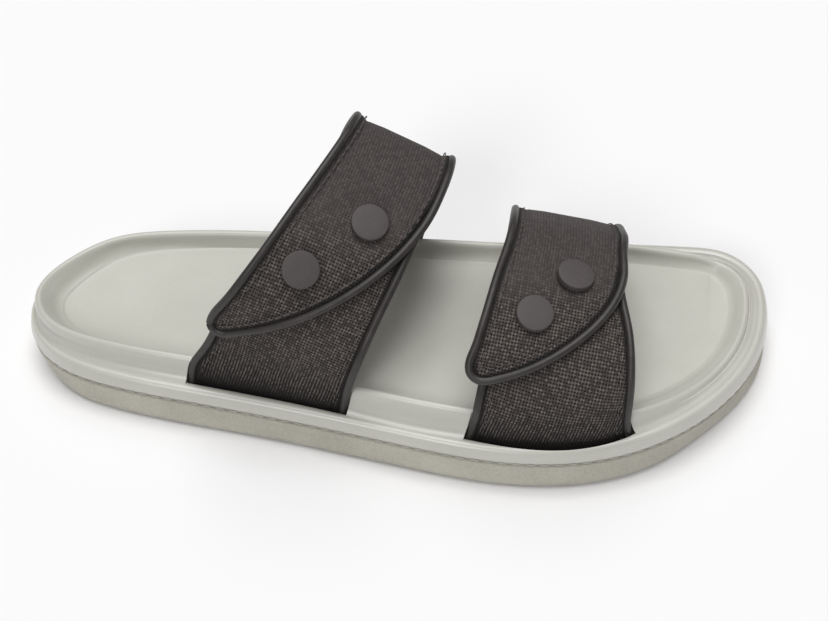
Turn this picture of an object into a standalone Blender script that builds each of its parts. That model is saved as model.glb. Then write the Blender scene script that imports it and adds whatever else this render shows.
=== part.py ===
"""A right-foot slide sandal: a grey moulded sole and two dark straps, each closed by a flap and two snaps.

The frame: +X points to the toe, +Y to the inner (medial) side of the foot, +Z up.
The origin is on the floor, under the middle of the sole's outline. Everything is in metres.
"""
import math

import bmesh
import bpy
import numpy as np
from mathutils import Matrix, Vector

# The sole
SOLE_LENGTH = 0.280
SOLE_WIDTH = 0.108
OUTSOLE_THICKNESS = 0.0122
MIDSOLE_PLATE = 0.0030
WELT_RISE = 0.0037
TOE_SPRING = 0.0022
TOE_SPRING_START = 0.35
HEEL_LIFT = 0.0035
EDGE_TUCK = 0.0052
LAYER_GAP = 0.0003
FOOTBED_RIM_HEIGHT = 0.0285
FOOTBED_RIM_INSET = 0.0095
FOOTBED_RIM_RADIUS = 0.0011
FOOTBED_WALL_WIDTH = 0.0090
FOOTBED_DEPTH = 0.0070
HEEL_CUP_DEPTH = 0.0015
TREAD_GROOVE_WIDTH = 0.0030
TREAD_GROOVE_DEPTH = 0.0018
TREAD_GROOVE_PITCH = 0.0130
TREAD_BORDER = 0.0110

# The straps
STRAP_THICKNESS = 0.0026
PIPING_DIAMETER = 0.0028
INSTEP_HEIGHT = 0.0781
INSTEP_FRONT_HEIGHT = 0.0655
BALL_HEIGHT = 0.0491
BALL_FRONT_HEIGHT = 0.0439
SLOT_DEPTH = 0.0042
SLOT_NOTCH_HEIGHT = 0.0140
NOTCH_OUTWARD = 0.0014

# The snaps
SNAP_CAP_DIAMETER = 0.0131
SNAP_CAP_HEIGHT = 0.0017
SNAP_POST_DIAMETER = 0.0040
SNAP_FLANGE_DIAMETER = 0.0080
SNAP_FLANGE_HEIGHT = 0.0008
SNAP_CLEARANCE = 0.0004

RING_STEPS = 28
PIPING_SIDES = 2

# The sole's outline seen from above, from heel to toe. Along is a share of the length from the heel;
# medial and lateral are shares of the sole's width, measured to each side of the foot's axis.
OUTLINE = [
    # along, medial, lateral
    (0.000, -0.033, 0.033),
    (0.025, 0.134, 0.215),
    (0.075, 0.272, 0.314),
    (0.147, 0.354, 0.364),
    (0.254, 0.409, 0.392),
    (0.397, 0.429, 0.424),
    (0.540, 0.445, 0.467),
    (0.665, 0.496, 0.491),
    (0.790, 0.578, 0.435),
    (0.880, 0.600, 0.303),
    (0.941, 0.591, 0.139),
    (0.984, 0.494, -0.063),
    (1.000, 0.300, -0.300),
]

# How the footbed's rim changes from heel to toe, for each side. Inset, height and depth are shares of
# FOOTBED_RIM_INSET, FOOTBED_RIM_HEIGHT and FOOTBED_DEPTH, and wall is a share of FOOTBED_WALL_WIDTH.
RIM = [
    # along, medial inset, height, wall, depth, lateral inset, height, wall, depth
    (0.00, 0.45, 0.93, 0.95, 0.98, 0.44, 0.93, 0.95, 0.98),
    (0.08, 0.78, 1.02, 0.56, 0.93, 0.87, 0.94, 0.70, 1.00),
    (0.20, 0.96, 1.02, 0.38, 0.94, 0.95, 0.98, 0.50, 0.92),
    (0.38, 1.00, 1.06, 0.38, 0.94, 0.98, 0.98, 0.42, 0.82),
    (0.55, 1.00, 1.13, 0.46, 1.01, 0.82, 1.07, 0.46, 0.80),
    (0.70, 1.06, 1.03, 0.61, 0.89, 1.00, 1.00, 0.75, 0.70),
    (0.88, 1.11, 0.84, 0.66, 0.53, 0.92, 0.84, 0.86, 0.53),
    (0.95, 1.14, 0.74, 0.76, 0.43, 0.92, 0.74, 0.74, 0.43),
    (1.00, 0.93, 0.73, 0.82, 0.42, 0.93, 0.73, 0.82, 0.42),
]

# The bottom edge of the outsole: how far it is drawn in and how far it lifts off the floor.
BOTTOM_EDGE = [
    # along, share of the edge tuck, share of the heel lift, share of the toe spring
    (0.00, 1.00, 0.90, 0.00),
    (0.04, 0.42, 0.30, 0.00),
    (0.09, 0.04, 0.03, 0.00),
    (0.15, -0.06, 0.00, 0.00),
    (0.40, -0.06, 0.00, 0.00),
    (0.75, 0.06, 0.00, 0.00),
    (0.86, 0.06, 0.00, 0.24),
    (0.94, 0.35, 0.00, 0.18),
    (1.00, -0.23, 0.00, 0.63),
]

# The straps' sections over the foot, from the lateral slot to the medial slot. Across is a share of the
# distance between the slots, up is a share of the strap's height, and lean is how far an edge has moved
# from its slot towards its place on the crown.
INSTEP_SECTION = [
    # back across, back up, front across, front up, back lean, front lean
    (0.000, 0.000, 0.000, 0.000, 0.00, 0.00),
    (0.016, 0.128, -0.002, 0.126, -0.01, 0.04),
    (0.009, 0.295, -0.014, 0.309, 0.12, 0.13),
    (0.019, 0.481, 0.004, 0.474, 0.27, 0.26),
    (0.043, 0.654, 0.101, 0.625, 0.45, 0.41),
    (0.160, 0.785, 0.244, 0.769, 0.64, 0.60),
    (0.431, 0.900, 0.480, 0.909, 0.84, 0.82),
    (0.745, 1.000, 0.744, 1.000, 1.00, 1.00),
    (0.939, 0.955, 0.895, 0.952, 1.01, 0.98),
    (1.030, 0.834, 1.000, 0.800, 0.84, 0.86),
    (1.075, 0.592, 1.058, 0.554, 0.58, 0.60),
    (1.055, 0.337, 1.030, 0.270, 0.32, 0.28),
    (1.010, 0.107, 1.000, 0.120, 0.08, 0.08),
    (1.000, 0.000, 1.000, 0.000, 0.00, 0.00),
]
BALL_SECTION = [
    # back across, back up, front across, front up, back lean, front lean
    (0.000, 0.000, 0.000, 0.000, 0.00, 0.00),
    (0.009, 0.127, -0.018, 0.117, 0.11, 0.14),
    (0.004, 0.422, -0.014, 0.426, 0.24, 0.22),
    (0.078, 0.640, 0.038, 0.672, 0.35, 0.27),
    (0.150, 0.775, 0.157, 0.823, 0.50, 0.44),
    (0.282, 0.895, 0.294, 0.920, 0.68, 0.76),
    (0.488, 0.967, 0.500, 1.000, 0.89, 1.00),
    (0.648, 1.000, 0.612, 0.973, 1.00, 1.02),
    (0.786, 0.914, 0.713, 0.889, 0.95, 0.94),
    (0.896, 0.790, 0.835, 0.740, 0.84, 0.84),
    (0.980, 0.588, 0.925, 0.530, 0.60, 0.60),
    (1.013, 0.356, 0.975, 0.320, 0.34, 0.34),
    (1.000, 0.120, 1.000, 0.130, 0.08, 0.08),
    (1.000, 0.000, 1.000, 0.000, 0.00, 0.00),
]

# Each strap: where its back and front edges stand at the lateral slot, on the crown and at the medial
# slot, as shares of the sole's length; its heights; its section; and the flap.
STRAPS = {
    "rear": {
        "lateral": (0.2508, 0.4573),
        "crown": (0.4343, 0.5516),
        "medial": (0.3462, 0.5060),
        "heights": (INSTEP_HEIGHT, INSTEP_FRONT_HEIGHT),
        "section": INSTEP_SECTION,
        "tab_inset": (0.0029, 0.0015),
        "tab_end": 0.50,
        "flap_corner": 0.162,
        "flap_merge": 0.482,
        "flap_sweep": (1.22, 1.87),
        "corner_radius": 0.0050,
        "snaps": {"lower": (0.312, 0.294), "upper": (0.415, 0.589)},
    },
    "front": {
        "lateral": (0.6053, 0.8213),
        "crown": (0.6526, 0.7831),
        "medial": (0.6430, 0.7523),
        "heights": (BALL_HEIGHT, BALL_FRONT_HEIGHT),
        "section": BALL_SECTION,
        "tab_inset": (0.0064, 0.0011),
        "tab_end": 0.50,
        "flap_corner": 0.191,
        "flap_merge": 0.451,
        "flap_sweep": (1.45, 1.69),
        "corner_radius": 0.0050,
        "snaps": {"lower": (0.333, 0.318), "upper": (0.424, 0.611)},
    },
}

SOLE_GREY = (0.585, 0.578, 0.520, 1.0)
SIDE_GREY = (0.520, 0.510, 0.450, 1.0)
STRAP_BROWN = (0.060, 0.052, 0.050, 1.0)
PIPING_BROWN = (0.075, 0.066, 0.064, 1.0)
SNAP_BROWN = (0.095, 0.085, 0.083, 1.0)


def make_material(name, colour, roughness):
    """A plain Principled material with one colour and roughness."""
    material = bpy.data.materials.new(name)
    material.use_nodes = True
    shader = material.node_tree.nodes["Principled BSDF"]
    shader.inputs["Base Color"].default_value = colour
    shader.inputs["Roughness"].default_value = roughness
    shader.inputs["Metallic"].default_value = 0.0
    return material


def smooth_curve(points, closed=False):
    """A cubic spline through points of any dimension, as its knots and a function of distance."""
    points = np.array(points, float)
    if closed:
        points = np.vstack([points, points[:1]])
    step = np.linalg.norm(np.diff(points, axis=0), axis=1)
    knots = np.concatenate([[0.0], np.cumsum(step)])
    count = len(knots)
    matrix, right = np.zeros((count, count)), np.zeros(points.shape)
    rise = np.diff(points, axis=0) / step[:, None]
    for i in range(1, count - 1):
        matrix[i, i - 1 : i + 2] = 1 / step[i - 1], 2 / step[i - 1] + 2 / step[i], 1 / step[i]
        right[i] = 3 * (rise[i - 1] / step[i - 1] + rise[i] / step[i])
    if closed:
        matrix[0, 0], matrix[0, -1] = 1, -1
        matrix[-1, 0] = 2 / step[0]
        matrix[-1, 1] = 1 / step[0]
        matrix[-1, -2] = 1 / step[-1]
        matrix[-1, -1] = 2 / step[-1]
        right[-1] = 3 * (rise[0] / step[0] + rise[-1] / step[-1])
    else:
        matrix[0, :2] = 2, 1
        matrix[-1, -2:] = 1, 2
        right[0], right[-1] = 3 * rise[0], 3 * rise[-1]
    slopes = np.linalg.solve(matrix, right)

    def at(distance):
        distance = np.atleast_1d(np.asarray(distance, float))
        i = np.clip(np.searchsorted(knots, distance, side="right") - 1, 0, count - 2)
        size = step[i][:, None]
        q = (distance - knots[i])[:, None] / size
        start, end = points[i], points[i + 1]
        return (
            start * (1 + 2 * q) * (1 - q) ** 2
            + end * (3 - 2 * q) * q**2
            + slopes[i] * size * q * (1 - q) ** 2
            - slopes[i + 1] * size * q**2 * (1 - q)
        )

    return knots, at


def smooth_step(value, low, high):
    """0 below low, 1 above high, and a soft S between them."""
    q = np.clip((value - low) / (high - low), 0, 1)
    return q * q * (3 - 2 * q)


def table_column(table, column, along):
    """A column of a table read at shares of the length, with a smooth curve between its rows."""
    rows = np.array(table, float)
    stations, values = rows[:, 0], rows[:, column]
    slopes = np.gradient(values, stations)
    along = np.clip(along, stations[0], stations[-1])
    i = np.clip(np.searchsorted(stations, along, side="right") - 1, 0, len(stations) - 2)
    size = stations[i + 1] - stations[i]
    q = (along - stations[i]) / size
    return (
        values[i] * (1 + 2 * q) * (1 - q) ** 2
        + values[i + 1] * (3 - 2 * q) * q**2
        + slopes[i] * size * q * (1 - q) ** 2
        - slopes[i + 1] * size * q**2 * (1 - q)
    )


def sole_outline(steps):
    """The outline as points that start at the heel, run along the medial side to the toe, and return."""
    rows = np.array(OUTLINE, float)
    medial = [(row[0] * SOLE_LENGTH, row[1] * SOLE_WIDTH) for row in rows]
    lateral = [(row[0] * SOLE_LENGTH, -row[2] * SOLE_WIDTH) for row in rows[1:-1]]
    knots, at = smooth_curve(medial + lateral[::-1], closed=True)
    toe, end = knots[len(medial) - 1], knots[-1]
    fine = at(np.linspace(0, end, 721))
    middle = (fine.min(axis=0) + fine.max(axis=0)) / 2
    turns = 12

    def even(start, stop):
        places = np.linspace(start, stop, steps * turns + 1)
        walked = np.concatenate([[0], np.cumsum(np.linalg.norm(np.diff(at(places), axis=0), axis=1))])
        return np.interp(np.linspace(0, walked[-1], steps + 1)[:-1], walked, places)

    places = np.concatenate([even(0, toe), even(toe, end)])
    step = end / 5000
    points = at(places)
    ahead = at((places + step) % end) - at((places - step) % end)
    ahead /= np.linalg.norm(ahead, axis=1)[:, None]
    inward = np.stack([ahead[:, 1], -ahead[:, 0]], axis=1)
    return points - middle, inward


OUTLINE_POINTS, INWARD = sole_outline(RING_STEPS)
HEEL_X = OUTLINE_POINTS[:, 0].min()
ON_MEDIAL = np.arange(2 * RING_STEPS) <= RING_STEPS
ALONG = (OUTLINE_POINTS[:, 0] - HEEL_X) / SOLE_LENGTH


def share_of_length(x):
    return (x - HEEL_X) / SOLE_LENGTH


def place_on_length(share):
    return HEEL_X + share * SOLE_LENGTH


def rim_column(name):
    """One of the rim's measures at each point of the outline, from the side that the point is on."""
    column = 1 + ["inset", "height", "wall", "depth"].index(name)
    medial = table_column(RIM, column, ALONG)
    lateral = table_column(RIM, column + 4, ALONG)
    return np.where(ON_MEDIAL, medial, lateral)


def toe_spring(x):
    """How far every layer of the sole rises towards the toe."""
    rise = np.clip((share_of_length(x) - TOE_SPRING_START) / (1 - TOE_SPRING_START), 0, 1)
    return TOE_SPRING * rise**2


RIM_INSET = FOOTBED_RIM_INSET * rim_column("inset")
RIM_HEIGHT = FOOTBED_RIM_HEIGHT * rim_column("height")
WALL_WIDTH = FOOTBED_WALL_WIDTH * rim_column("wall")
WALL_DEPTH = FOOTBED_DEPTH * rim_column("depth")
VALLEY_INSET = RIM_INSET / 2
MIDSOLE_BOTTOM = OUTSOLE_THICKNESS + LAYER_GAP
PLATE_TOP = MIDSOLE_BOTTOM + MIDSOLE_PLATE
VALLEY_HEIGHT = PLATE_TOP + WELT_RISE - 0.0004
WELT_TOP = PLATE_TOP + WELT_RISE
FOOTBED_BOTTOM = PLATE_TOP + LAYER_GAP


def sole_ring(inset, height, spring=True):
    """A ring of the sole: the outline drawn in by inset, at a height that follows the toe spring."""
    plan = OUTLINE_POINTS + INWARD * np.broadcast_to(inset, len(ALONG))[:, None]
    rise = toe_spring(plan[:, 0]) if spring else 0
    return np.column_stack([plan, np.broadcast_to(height, len(ALONG)) + rise])


def new_object(name, bm, material, smooth_angle=None):
    """A named object from a bmesh, with its material and its faces turned outwards."""
    bmesh.ops.recalc_face_normals(bm, faces=bm.faces)
    mesh = bpy.data.meshes.new(name)
    bm.to_mesh(mesh)
    bm.free()
    mesh.materials.append(material)
    if smooth_angle is not None:
        mesh.shade_smooth()
        mesh.set_sharp_from_angle(angle=math.radians(smooth_angle))
    made = bpy.data.objects.new(name, mesh)
    bpy.context.scene.collection.objects.link(made)
    return made


def loft_rings(bm, rings):
    """Joins closed rings of equal count with quads and returns their vertices."""
    rows = [[bm.verts.new(point) for point in ring] for ring in rings]
    for low, high in zip(rows, rows[1:]):
        for i in range(len(low)):
            j = (i + 1) % len(low)
            bm.faces.new((low[i], low[j], high[j], high[i]))
    return rows


def ladder_cap(bm, ring):
    """Closes a ring of the sole with cross bars from its medial to its lateral side."""
    count = len(ring)
    half = count // 2
    for i in range(half):
        corners = [ring[i], ring[i + 1], ring[count - i - 1], ring[(count - i) % count]]
        bm.faces.new(list(dict.fromkeys(corners)))


def sole_solid(name, rings, material, smooth_angle=40):
    bm = bmesh.new()
    rows = loft_rings(bm, rings)
    ladder_cap(bm, rows[0])
    ladder_cap(bm, rows[-1])
    return new_object(name, bm, material, smooth_angle)


def cut(target, cutter, name):
    """Takes the cutter's shape out of the target with an exact Boolean."""
    cutter.hide_render = True
    cutter.display_type = "WIRE"
    modifier = target.modifiers.new(name, "BOOLEAN")
    modifier.operation = "DIFFERENCE"
    modifier.solver = "EXACT"
    modifier.object = cutter


def bottom_lift(share):
    """How far the underside stands off the floor: only the heel's and the toe's ends do."""
    heel = np.maximum(table_column(BOTTOM_EDGE, 2, share), 0)
    toe = np.maximum(table_column(BOTTOM_EDGE, 3, share), 0)
    return HEEL_LIFT * heel + TOE_SPRING * toe


def make_outsole(material):
    """The bottom unit, up to the stitched seam, with a rounded lower edge and a lifted heel and toe."""
    edge_inset = table_column(BOTTOM_EDGE, 1, ALONG) * EDGE_TUCK
    lift = bottom_lift(ALONG)
    top = OUTSOLE_THICKNESS
    rings = [
        sole_ring(edge_inset + 0.0070, lift * 0.35, spring=False),
        sole_ring(edge_inset + 0.0010, lift * 0.90, spring=False),
        sole_ring(edge_inset + 0.0001, lift + 0.0006, spring=False),
        sole_ring(edge_inset * 0.85, lift * 0.9 + 0.0030, spring=False),
        sole_ring(0.0003 + edge_inset * 0.25, top * 0.75),
        sole_ring(0.0002, top - 0.0009),
        sole_ring(0.0008, top),
    ]
    outsole = sole_solid("outsole", rings, material)
    cut(outsole, tread_cutter(), "tread")
    return outsole


def half_widths(x, inset):
    """The lateral and medial y of the outline drawn in by inset, at a place along the length."""
    ring = sole_ring(inset, 0.0)
    medial = ring[: RING_STEPS + 1]
    lateral = np.vstack([ring[RING_STEPS:], ring[:1]])[::-1]
    return np.interp(x, lateral[:, 0], lateral[:, 1]), np.interp(x, medial[:, 0], medial[:, 1])


def tread_cutter():
    """A row of bars across the underside, which leaves a plain border round them."""
    bm = bmesh.new()
    count = int(SOLE_LENGTH * 0.80 / TREAD_GROOVE_PITCH)
    for i in range(count):
        x = (i - (count - 1) / 2) * TREAD_GROOVE_PITCH
        lateral, medial = half_widths(x, TREAD_BORDER)
        size = Vector((TREAD_GROOVE_WIDTH, medial - lateral, 2 * TREAD_GROOVE_DEPTH, 1.0))
        lift = 0.35 * float(bottom_lift(share_of_length(x)))
        place = Matrix.Translation((x, (medial + lateral) / 2, lift))
        bmesh.ops.create_cube(bm, size=1.0, matrix=place @ Matrix.Diagonal(size))
    return new_object("tread_cutter", bm, None)


def make_midsole(material):
    """The plate under the footbed with the rounded welt that rolls up round it."""
    inner = VALLEY_INSET - LAYER_GAP
    bottom, top = MIDSOLE_BOTTOM, WELT_TOP
    rise = top - bottom
    rings = [
        sole_ring(0.0012, bottom),
        sole_ring(0.0005, bottom + 0.08 * rise),
        sole_ring(-0.0002, bottom + 0.28 * rise),
        sole_ring(-0.0001, bottom + 0.52 * rise),
        sole_ring(inner * 0.14, bottom + 0.76 * rise),
        sole_ring(inner * 0.38, bottom + 0.95 * rise),
        sole_ring(inner * 0.68, top),
        sole_ring(inner, VALLEY_HEIGHT),
        sole_ring(inner, PLATE_TOP),
    ]
    return sole_solid("midsole", rings, material)


def footbed_floor(plan, q, crease_height):
    """The height of the footbed's floor: q runs from 0 on the middle line to 1 at the crease."""
    share = share_of_length(plan[:, 0])
    heel_cup = HEEL_CUP_DEPTH * (1 - smooth_step(share, 0.25, 0.50))
    ball_cup = 0.4 * HEEL_CUP_DEPTH * smooth_step(share, 0.55, 0.75)
    pad = 0.8 * HEEL_CUP_DEPTH * np.exp(-(((share - 0.56) / 0.07) ** 2))
    return crease_height - (heel_cup + ball_cup - pad) * (1 - q**2)


def make_footbed(material):
    """The footbed with its raised rim: a steep outer flank, a rounded crest, and a wall down to the floor."""
    low, crest = FOOTBED_BOTTOM, RIM_HEIGHT
    flank_foot = VALLEY_HEIGHT + 0.0003
    flank = crest - flank_foot
    run = RIM_INSET - VALLEY_INSET
    r = FOOTBED_RIM_RADIUS
    rings = [
        sole_ring(VALLEY_INSET, low),
        sole_ring(VALLEY_INSET, flank_foot),
        sole_ring(VALLEY_INSET + 0.22 * run, flank_foot + 0.10 * flank),
        sole_ring(VALLEY_INSET + 0.52 * run, flank_foot + 0.42 * flank),
        sole_ring(RIM_INSET - 1.3 * r, crest - 1.3 * r),
        sole_ring(RIM_INSET - 0.6 * r, crest - 0.3 * r),
        sole_ring(RIM_INSET + 0.3 * r, crest),
        sole_ring(RIM_INSET + 1.3 * r, crest - 0.5 * r),
        sole_ring(RIM_INSET + np.maximum(0.45 * WALL_WIDTH, 2.0 * r), crest - 0.42 * WALL_DEPTH),
        sole_ring(RIM_INSET + np.maximum(0.75 * WALL_WIDTH, 2.6 * r), crest - 0.82 * WALL_DEPTH),
        sole_ring(RIM_INSET + WALL_WIDTH, crest - WALL_DEPTH),
    ]
    crease = rings[-1]
    half = RING_STEPS
    pair = np.clip(np.arange(half + 1), 3, half - 3)
    bars = (crease[pair] + crease[(2 * half - pair) % (2 * half)]) / 2
    middle = np.vstack([bars, bars[1:-1][::-1]])
    for q in (0.86, 0.62, 0.30):
        plan = middle * (1 - q) + crease * q
        level = crease[:, 2] * q + middle[:, 2] * (1 - q)
        plan[:, 2] = footbed_floor(plan, q, level)
        rings.append(plan)
    return sole_solid("footbed", rings, material, 50)


def strap_edges(strap):
    """The strap's back and front edge as one smooth curve in six dimensions, on its inner face."""
    inner_face = VALLEY_INSET + STRAP_THICKNESS + 2 * LAYER_GAP
    base = WELT_TOP - SLOT_DEPTH
    edges = []
    for side in (0, 1):
        lateral_x = place_on_length(strap["lateral"][side])
        medial_x = place_on_length(strap["medial"][side])
        crown_x = place_on_length(strap["crown"][side])
        lateral_y = half_widths(lateral_x, inner_face)[0]
        medial_y = half_widths(medial_x, inner_face)[1]
        height = strap["heights"][side]
        crown_row = max(range(len(strap["section"])), key=lambda k: strap["section"][k][2 * side + 1])
        line = []
        for k, row in enumerate(strap["section"]):
            foot_x = lateral_x if k <= crown_row else medial_x
            across, up, lean = row[2 * side], row[2 * side + 1], row[4 + side]
            x = foot_x + (crown_x - foot_x) * lean
            y = lateral_y + (medial_y - lateral_y) * across
            line.append((x, y, base + height * up + float(toe_spring(x)) * (1 - up)))
        edges.append(line)
    return smooth_curve(np.hstack(edges))


def strap_sheet(strap):
    """A function of s, from the lateral to the medial slot, t, from back to front, and lift."""
    knots, at = strap_edges(strap)
    length = knots[-1]
    inner_face = VALLEY_INSET + STRAP_THICKNESS + 2 * LAYER_GAP

    def bow(s, t, side):
        """How far the sole's curved slot stands off the straight line between the strap's edges."""
        s_end = 0.0 if side == 0 else 1.0
        corners = at(s_end * length)[0]
        x = corners[0] * (1 - t) + corners[3] * t
        chord = corners[1] * (1 - t) + corners[4] * t
        off = half_widths(x, inner_face)[side] - chord
        return off * (1 - smooth_step(np.abs(s - s_end), 0.04, 0.30))

    def base(s, t):
        both = at(s * length)
        point = both[:, :3] * (1 - t)[:, None] + both[:, 3:] * t[:, None]
        beside = np.clip(t, -0.1, 1.1)
        point[:, 1] += bow(s, beside, 0) + bow(s, beside, 1)
        return point

    def sheet(s, t, lift):
        s, t, lift = np.broadcast_arrays(*(np.atleast_1d(np.asarray(v, float)) for v in (s, t, lift)))
        step = 0.002
        low, high = np.clip(s - step, 0, 1), np.clip(s + step, 0, 1)
        along = base(high, t) - base(low, t)
        over = base(s, t + step) - base(s, t - step)
        normal = np.cross(over, along)
        normal /= np.linalg.norm(normal, axis=1)[:, None]
        return base(s, t) + normal * lift[:, None], normal

    return sheet


def share_across(sheet, s, distance):
    """A distance in metres across the strap as a share of its width at s."""
    s = np.atleast_1d(np.asarray(s, float))
    width = np.linalg.norm(sheet(s, 1.0, 0.0)[0] - sheet(s, 0.0, 0.0)[0], axis=1)
    return distance / width


def share_along(sheet, s, t, distance):
    """A distance in metres along the strap as a share of its length near s."""
    step = 0.01
    span = np.linalg.norm(sheet(s + step, t, 0.0)[0] - sheet(s - step, t, 0.0)[0], axis=1)[0]
    return distance * 2 * step / span


def flap_lift(strap, s):
    """The flap's inner face: over the tab at first, and down to the foot past the tab's end."""
    over_tab = PIPING_DIAMETER + 2 * LAYER_GAP
    return over_tab * (1 - smooth_step(s, strap["tab_end"] + 0.01, strap["tab_end"] + 0.12))


def flap_end(strap, sheet, t):
    """Where the flap ends: a corner at the back edge, and a curve that runs out along the front edge."""
    t = np.clip(np.atleast_1d(np.asarray(t, float)), 0, 1)
    corner, merge = strap["flap_corner"], strap["flap_merge"]
    start, finish = strap["flap_sweep"]
    sweep = 1 - (1 - t**start) ** (1 / finish)
    radius_s = share_along(sheet, corner, 0.0, strap["corner_radius"])
    radius_t = share_across(sheet, corner, strap["corner_radius"])[0]
    inside = np.clip(1 - t / radius_t, 0, 1)
    round_off = radius_s * (1 - np.sqrt(1 - inside**2))
    return corner + (merge - corner) * sweep + round_off


def sheet_solid(name, sheet, rows, material):
    """A closed strap piece from rows of (s, t, inner lift): its inner and outer faces and its edges."""
    bm = bmesh.new()
    faces = []
    for lift in (0.0, STRAP_THICKNESS):
        faces.append([[bm.verts.new(p) for p in sheet(s, t, under + lift)[0]] for s, t, under in rows])
    inner, outer = faces
    last_row, last = len(rows) - 1, len(inner[0]) - 1
    for i in range(last_row):
        for j in range(last):
            bm.faces.new((outer[i][j], outer[i][j + 1], outer[i + 1][j + 1], outer[i + 1][j]))
            bm.faces.new((inner[i][j], inner[i + 1][j], inner[i + 1][j + 1], inner[i][j + 1]))
    for j in range(last):
        for i in (0, last_row):
            bm.faces.new((inner[i][j], inner[i][j + 1], outer[i][j + 1], outer[i][j]))
    for i in range(last_row):
        for j in (0, last):
            bm.faces.new((inner[i][j], inner[i + 1][j], outer[i + 1][j], outer[i][j]))
    return new_object(name, bm, material, 40)


def make_tab(name, strap, sheet, material):
    """The lower part of the strap, which stands in the lateral slot and ends under the flap."""
    rows = []
    for s in np.linspace(0, strap["tab_end"], 18):
        back = share_across(sheet, s, strap["tab_inset"][0])[0]
        front = share_across(sheet, s, strap["tab_inset"][1])[0]
        t = np.linspace(back, 1 - front, 6)
        rows.append((np.full(6, s), t, np.zeros(6)))
    return sheet_solid(name, sheet, rows, material)


def make_flap(name, strap, sheet, material):
    """The upper part, from the medial slot over the foot to its curved end on the lateral side."""
    t = np.sin(np.linspace(0, math.pi / 2, 12))
    t = np.concatenate([[0.0, 0.025], t[1:]])
    end = flap_end(strap, sheet, t)
    rows = []
    for q in np.linspace(0, 1, 25):
        s = end + (1 - end) * q
        rows.append((s, t, flap_lift(strap, s)))
    return sheet_solid(name, sheet, rows, material)


def make_piping(name, path, material):
    """A round cord along a path, as a curve with a bevel and closed ends."""
    curve = bpy.data.curves.new(name, "CURVE")
    curve.dimensions = "3D"
    curve.bevel_depth = PIPING_DIAMETER / 2
    curve.bevel_resolution = PIPING_SIDES
    curve.use_fill_caps = True
    spline = curve.splines.new("POLY")
    spline.points.add(len(path) - 1)
    for point, place in zip(spline.points, path):
        point.co = (*place, 1.0)
    curve.materials.append(material)
    made = bpy.data.objects.new(name, curve)
    bpy.context.scene.collection.objects.link(made)
    return made


def beside_edge(sheet, s, t, lift, outward_side):
    """A path that runs beside a strap's edge, a piping radius and a gap away from the cloth."""
    points, normals = sheet(s, t, lift + STRAP_THICKNESS / 2)
    ahead = np.gradient(points, axis=0)
    ahead /= np.linalg.norm(ahead, axis=1)[:, None]
    outward = np.cross(ahead, normals) * outward_side
    return points + outward * (PIPING_DIAMETER / 2 + LAYER_GAP)


def tab_piping_path(strap, sheet, edge):
    """Beside the tab's back edge, to just under the flap, or beside its front edge."""
    stop = strap["flap_corner"] + 0.06 if edge == 0 else strap["tab_end"]
    s = np.linspace(0, stop, 13 if edge == 0 else 17)
    inset = np.array([share_across(sheet, v, strap["tab_inset"][edge])[0] for v in s])
    t = inset if edge == 0 else 1 - inset
    return beside_edge(sheet, s, t, 0.0, -1 if edge == 0 else 1)


def flap_piping_path(strap, sheet):
    """Round the flap: up its front edge from the medial slot, round its curved end, and back."""
    t_end = np.sin(np.linspace(math.pi / 2, 0, 12))
    t_end = np.concatenate([t_end[:-1], [0.05, 0.02, 0.0]])
    s_end = flap_end(strap, sheet, t_end)
    s_front = np.linspace(1, s_end[0], 18)[:-1]
    s_back = np.linspace(s_end[-1], 1, 22)[1:]
    s = np.concatenate([s_front, s_end, s_back])
    t = np.concatenate([np.ones(len(s_front)), t_end, np.zeros(len(s_back))])
    return beside_edge(sheet, s, t, flap_lift(strap, s), -1)


def turned_piece(name, profile, place, material, steps=14):
    """A piece turned from a profile of (radius, height) rows about the axis of place."""
    bm = bmesh.new()
    line = [bm.verts.new((radius, 0.0, height)) for radius, height in profile]
    edges = [bm.edges.new(pair) for pair in zip(line, line[1:])]
    bmesh.ops.spin(
        bm, geom=line + edges, cent=(0, 0, 0), axis=(0, 0, 1), angle=2 * math.pi, steps=steps, use_merge=True
    )
    bmesh.ops.remove_doubles(bm, verts=bm.verts, dist=1e-6)
    bm.transform(place)
    return new_object(name, bm, material, 35)


def snap_place(sheet, strap, s, t, lift):
    """A frame on the strap with its Z along the cloth's normal."""
    point, normal = sheet(s, t, lift)
    turn = Vector(normal[0]).to_track_quat("Z", "Y").to_matrix().to_4x4()
    return Matrix.Translation(Vector(point[0])) @ turn


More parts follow.
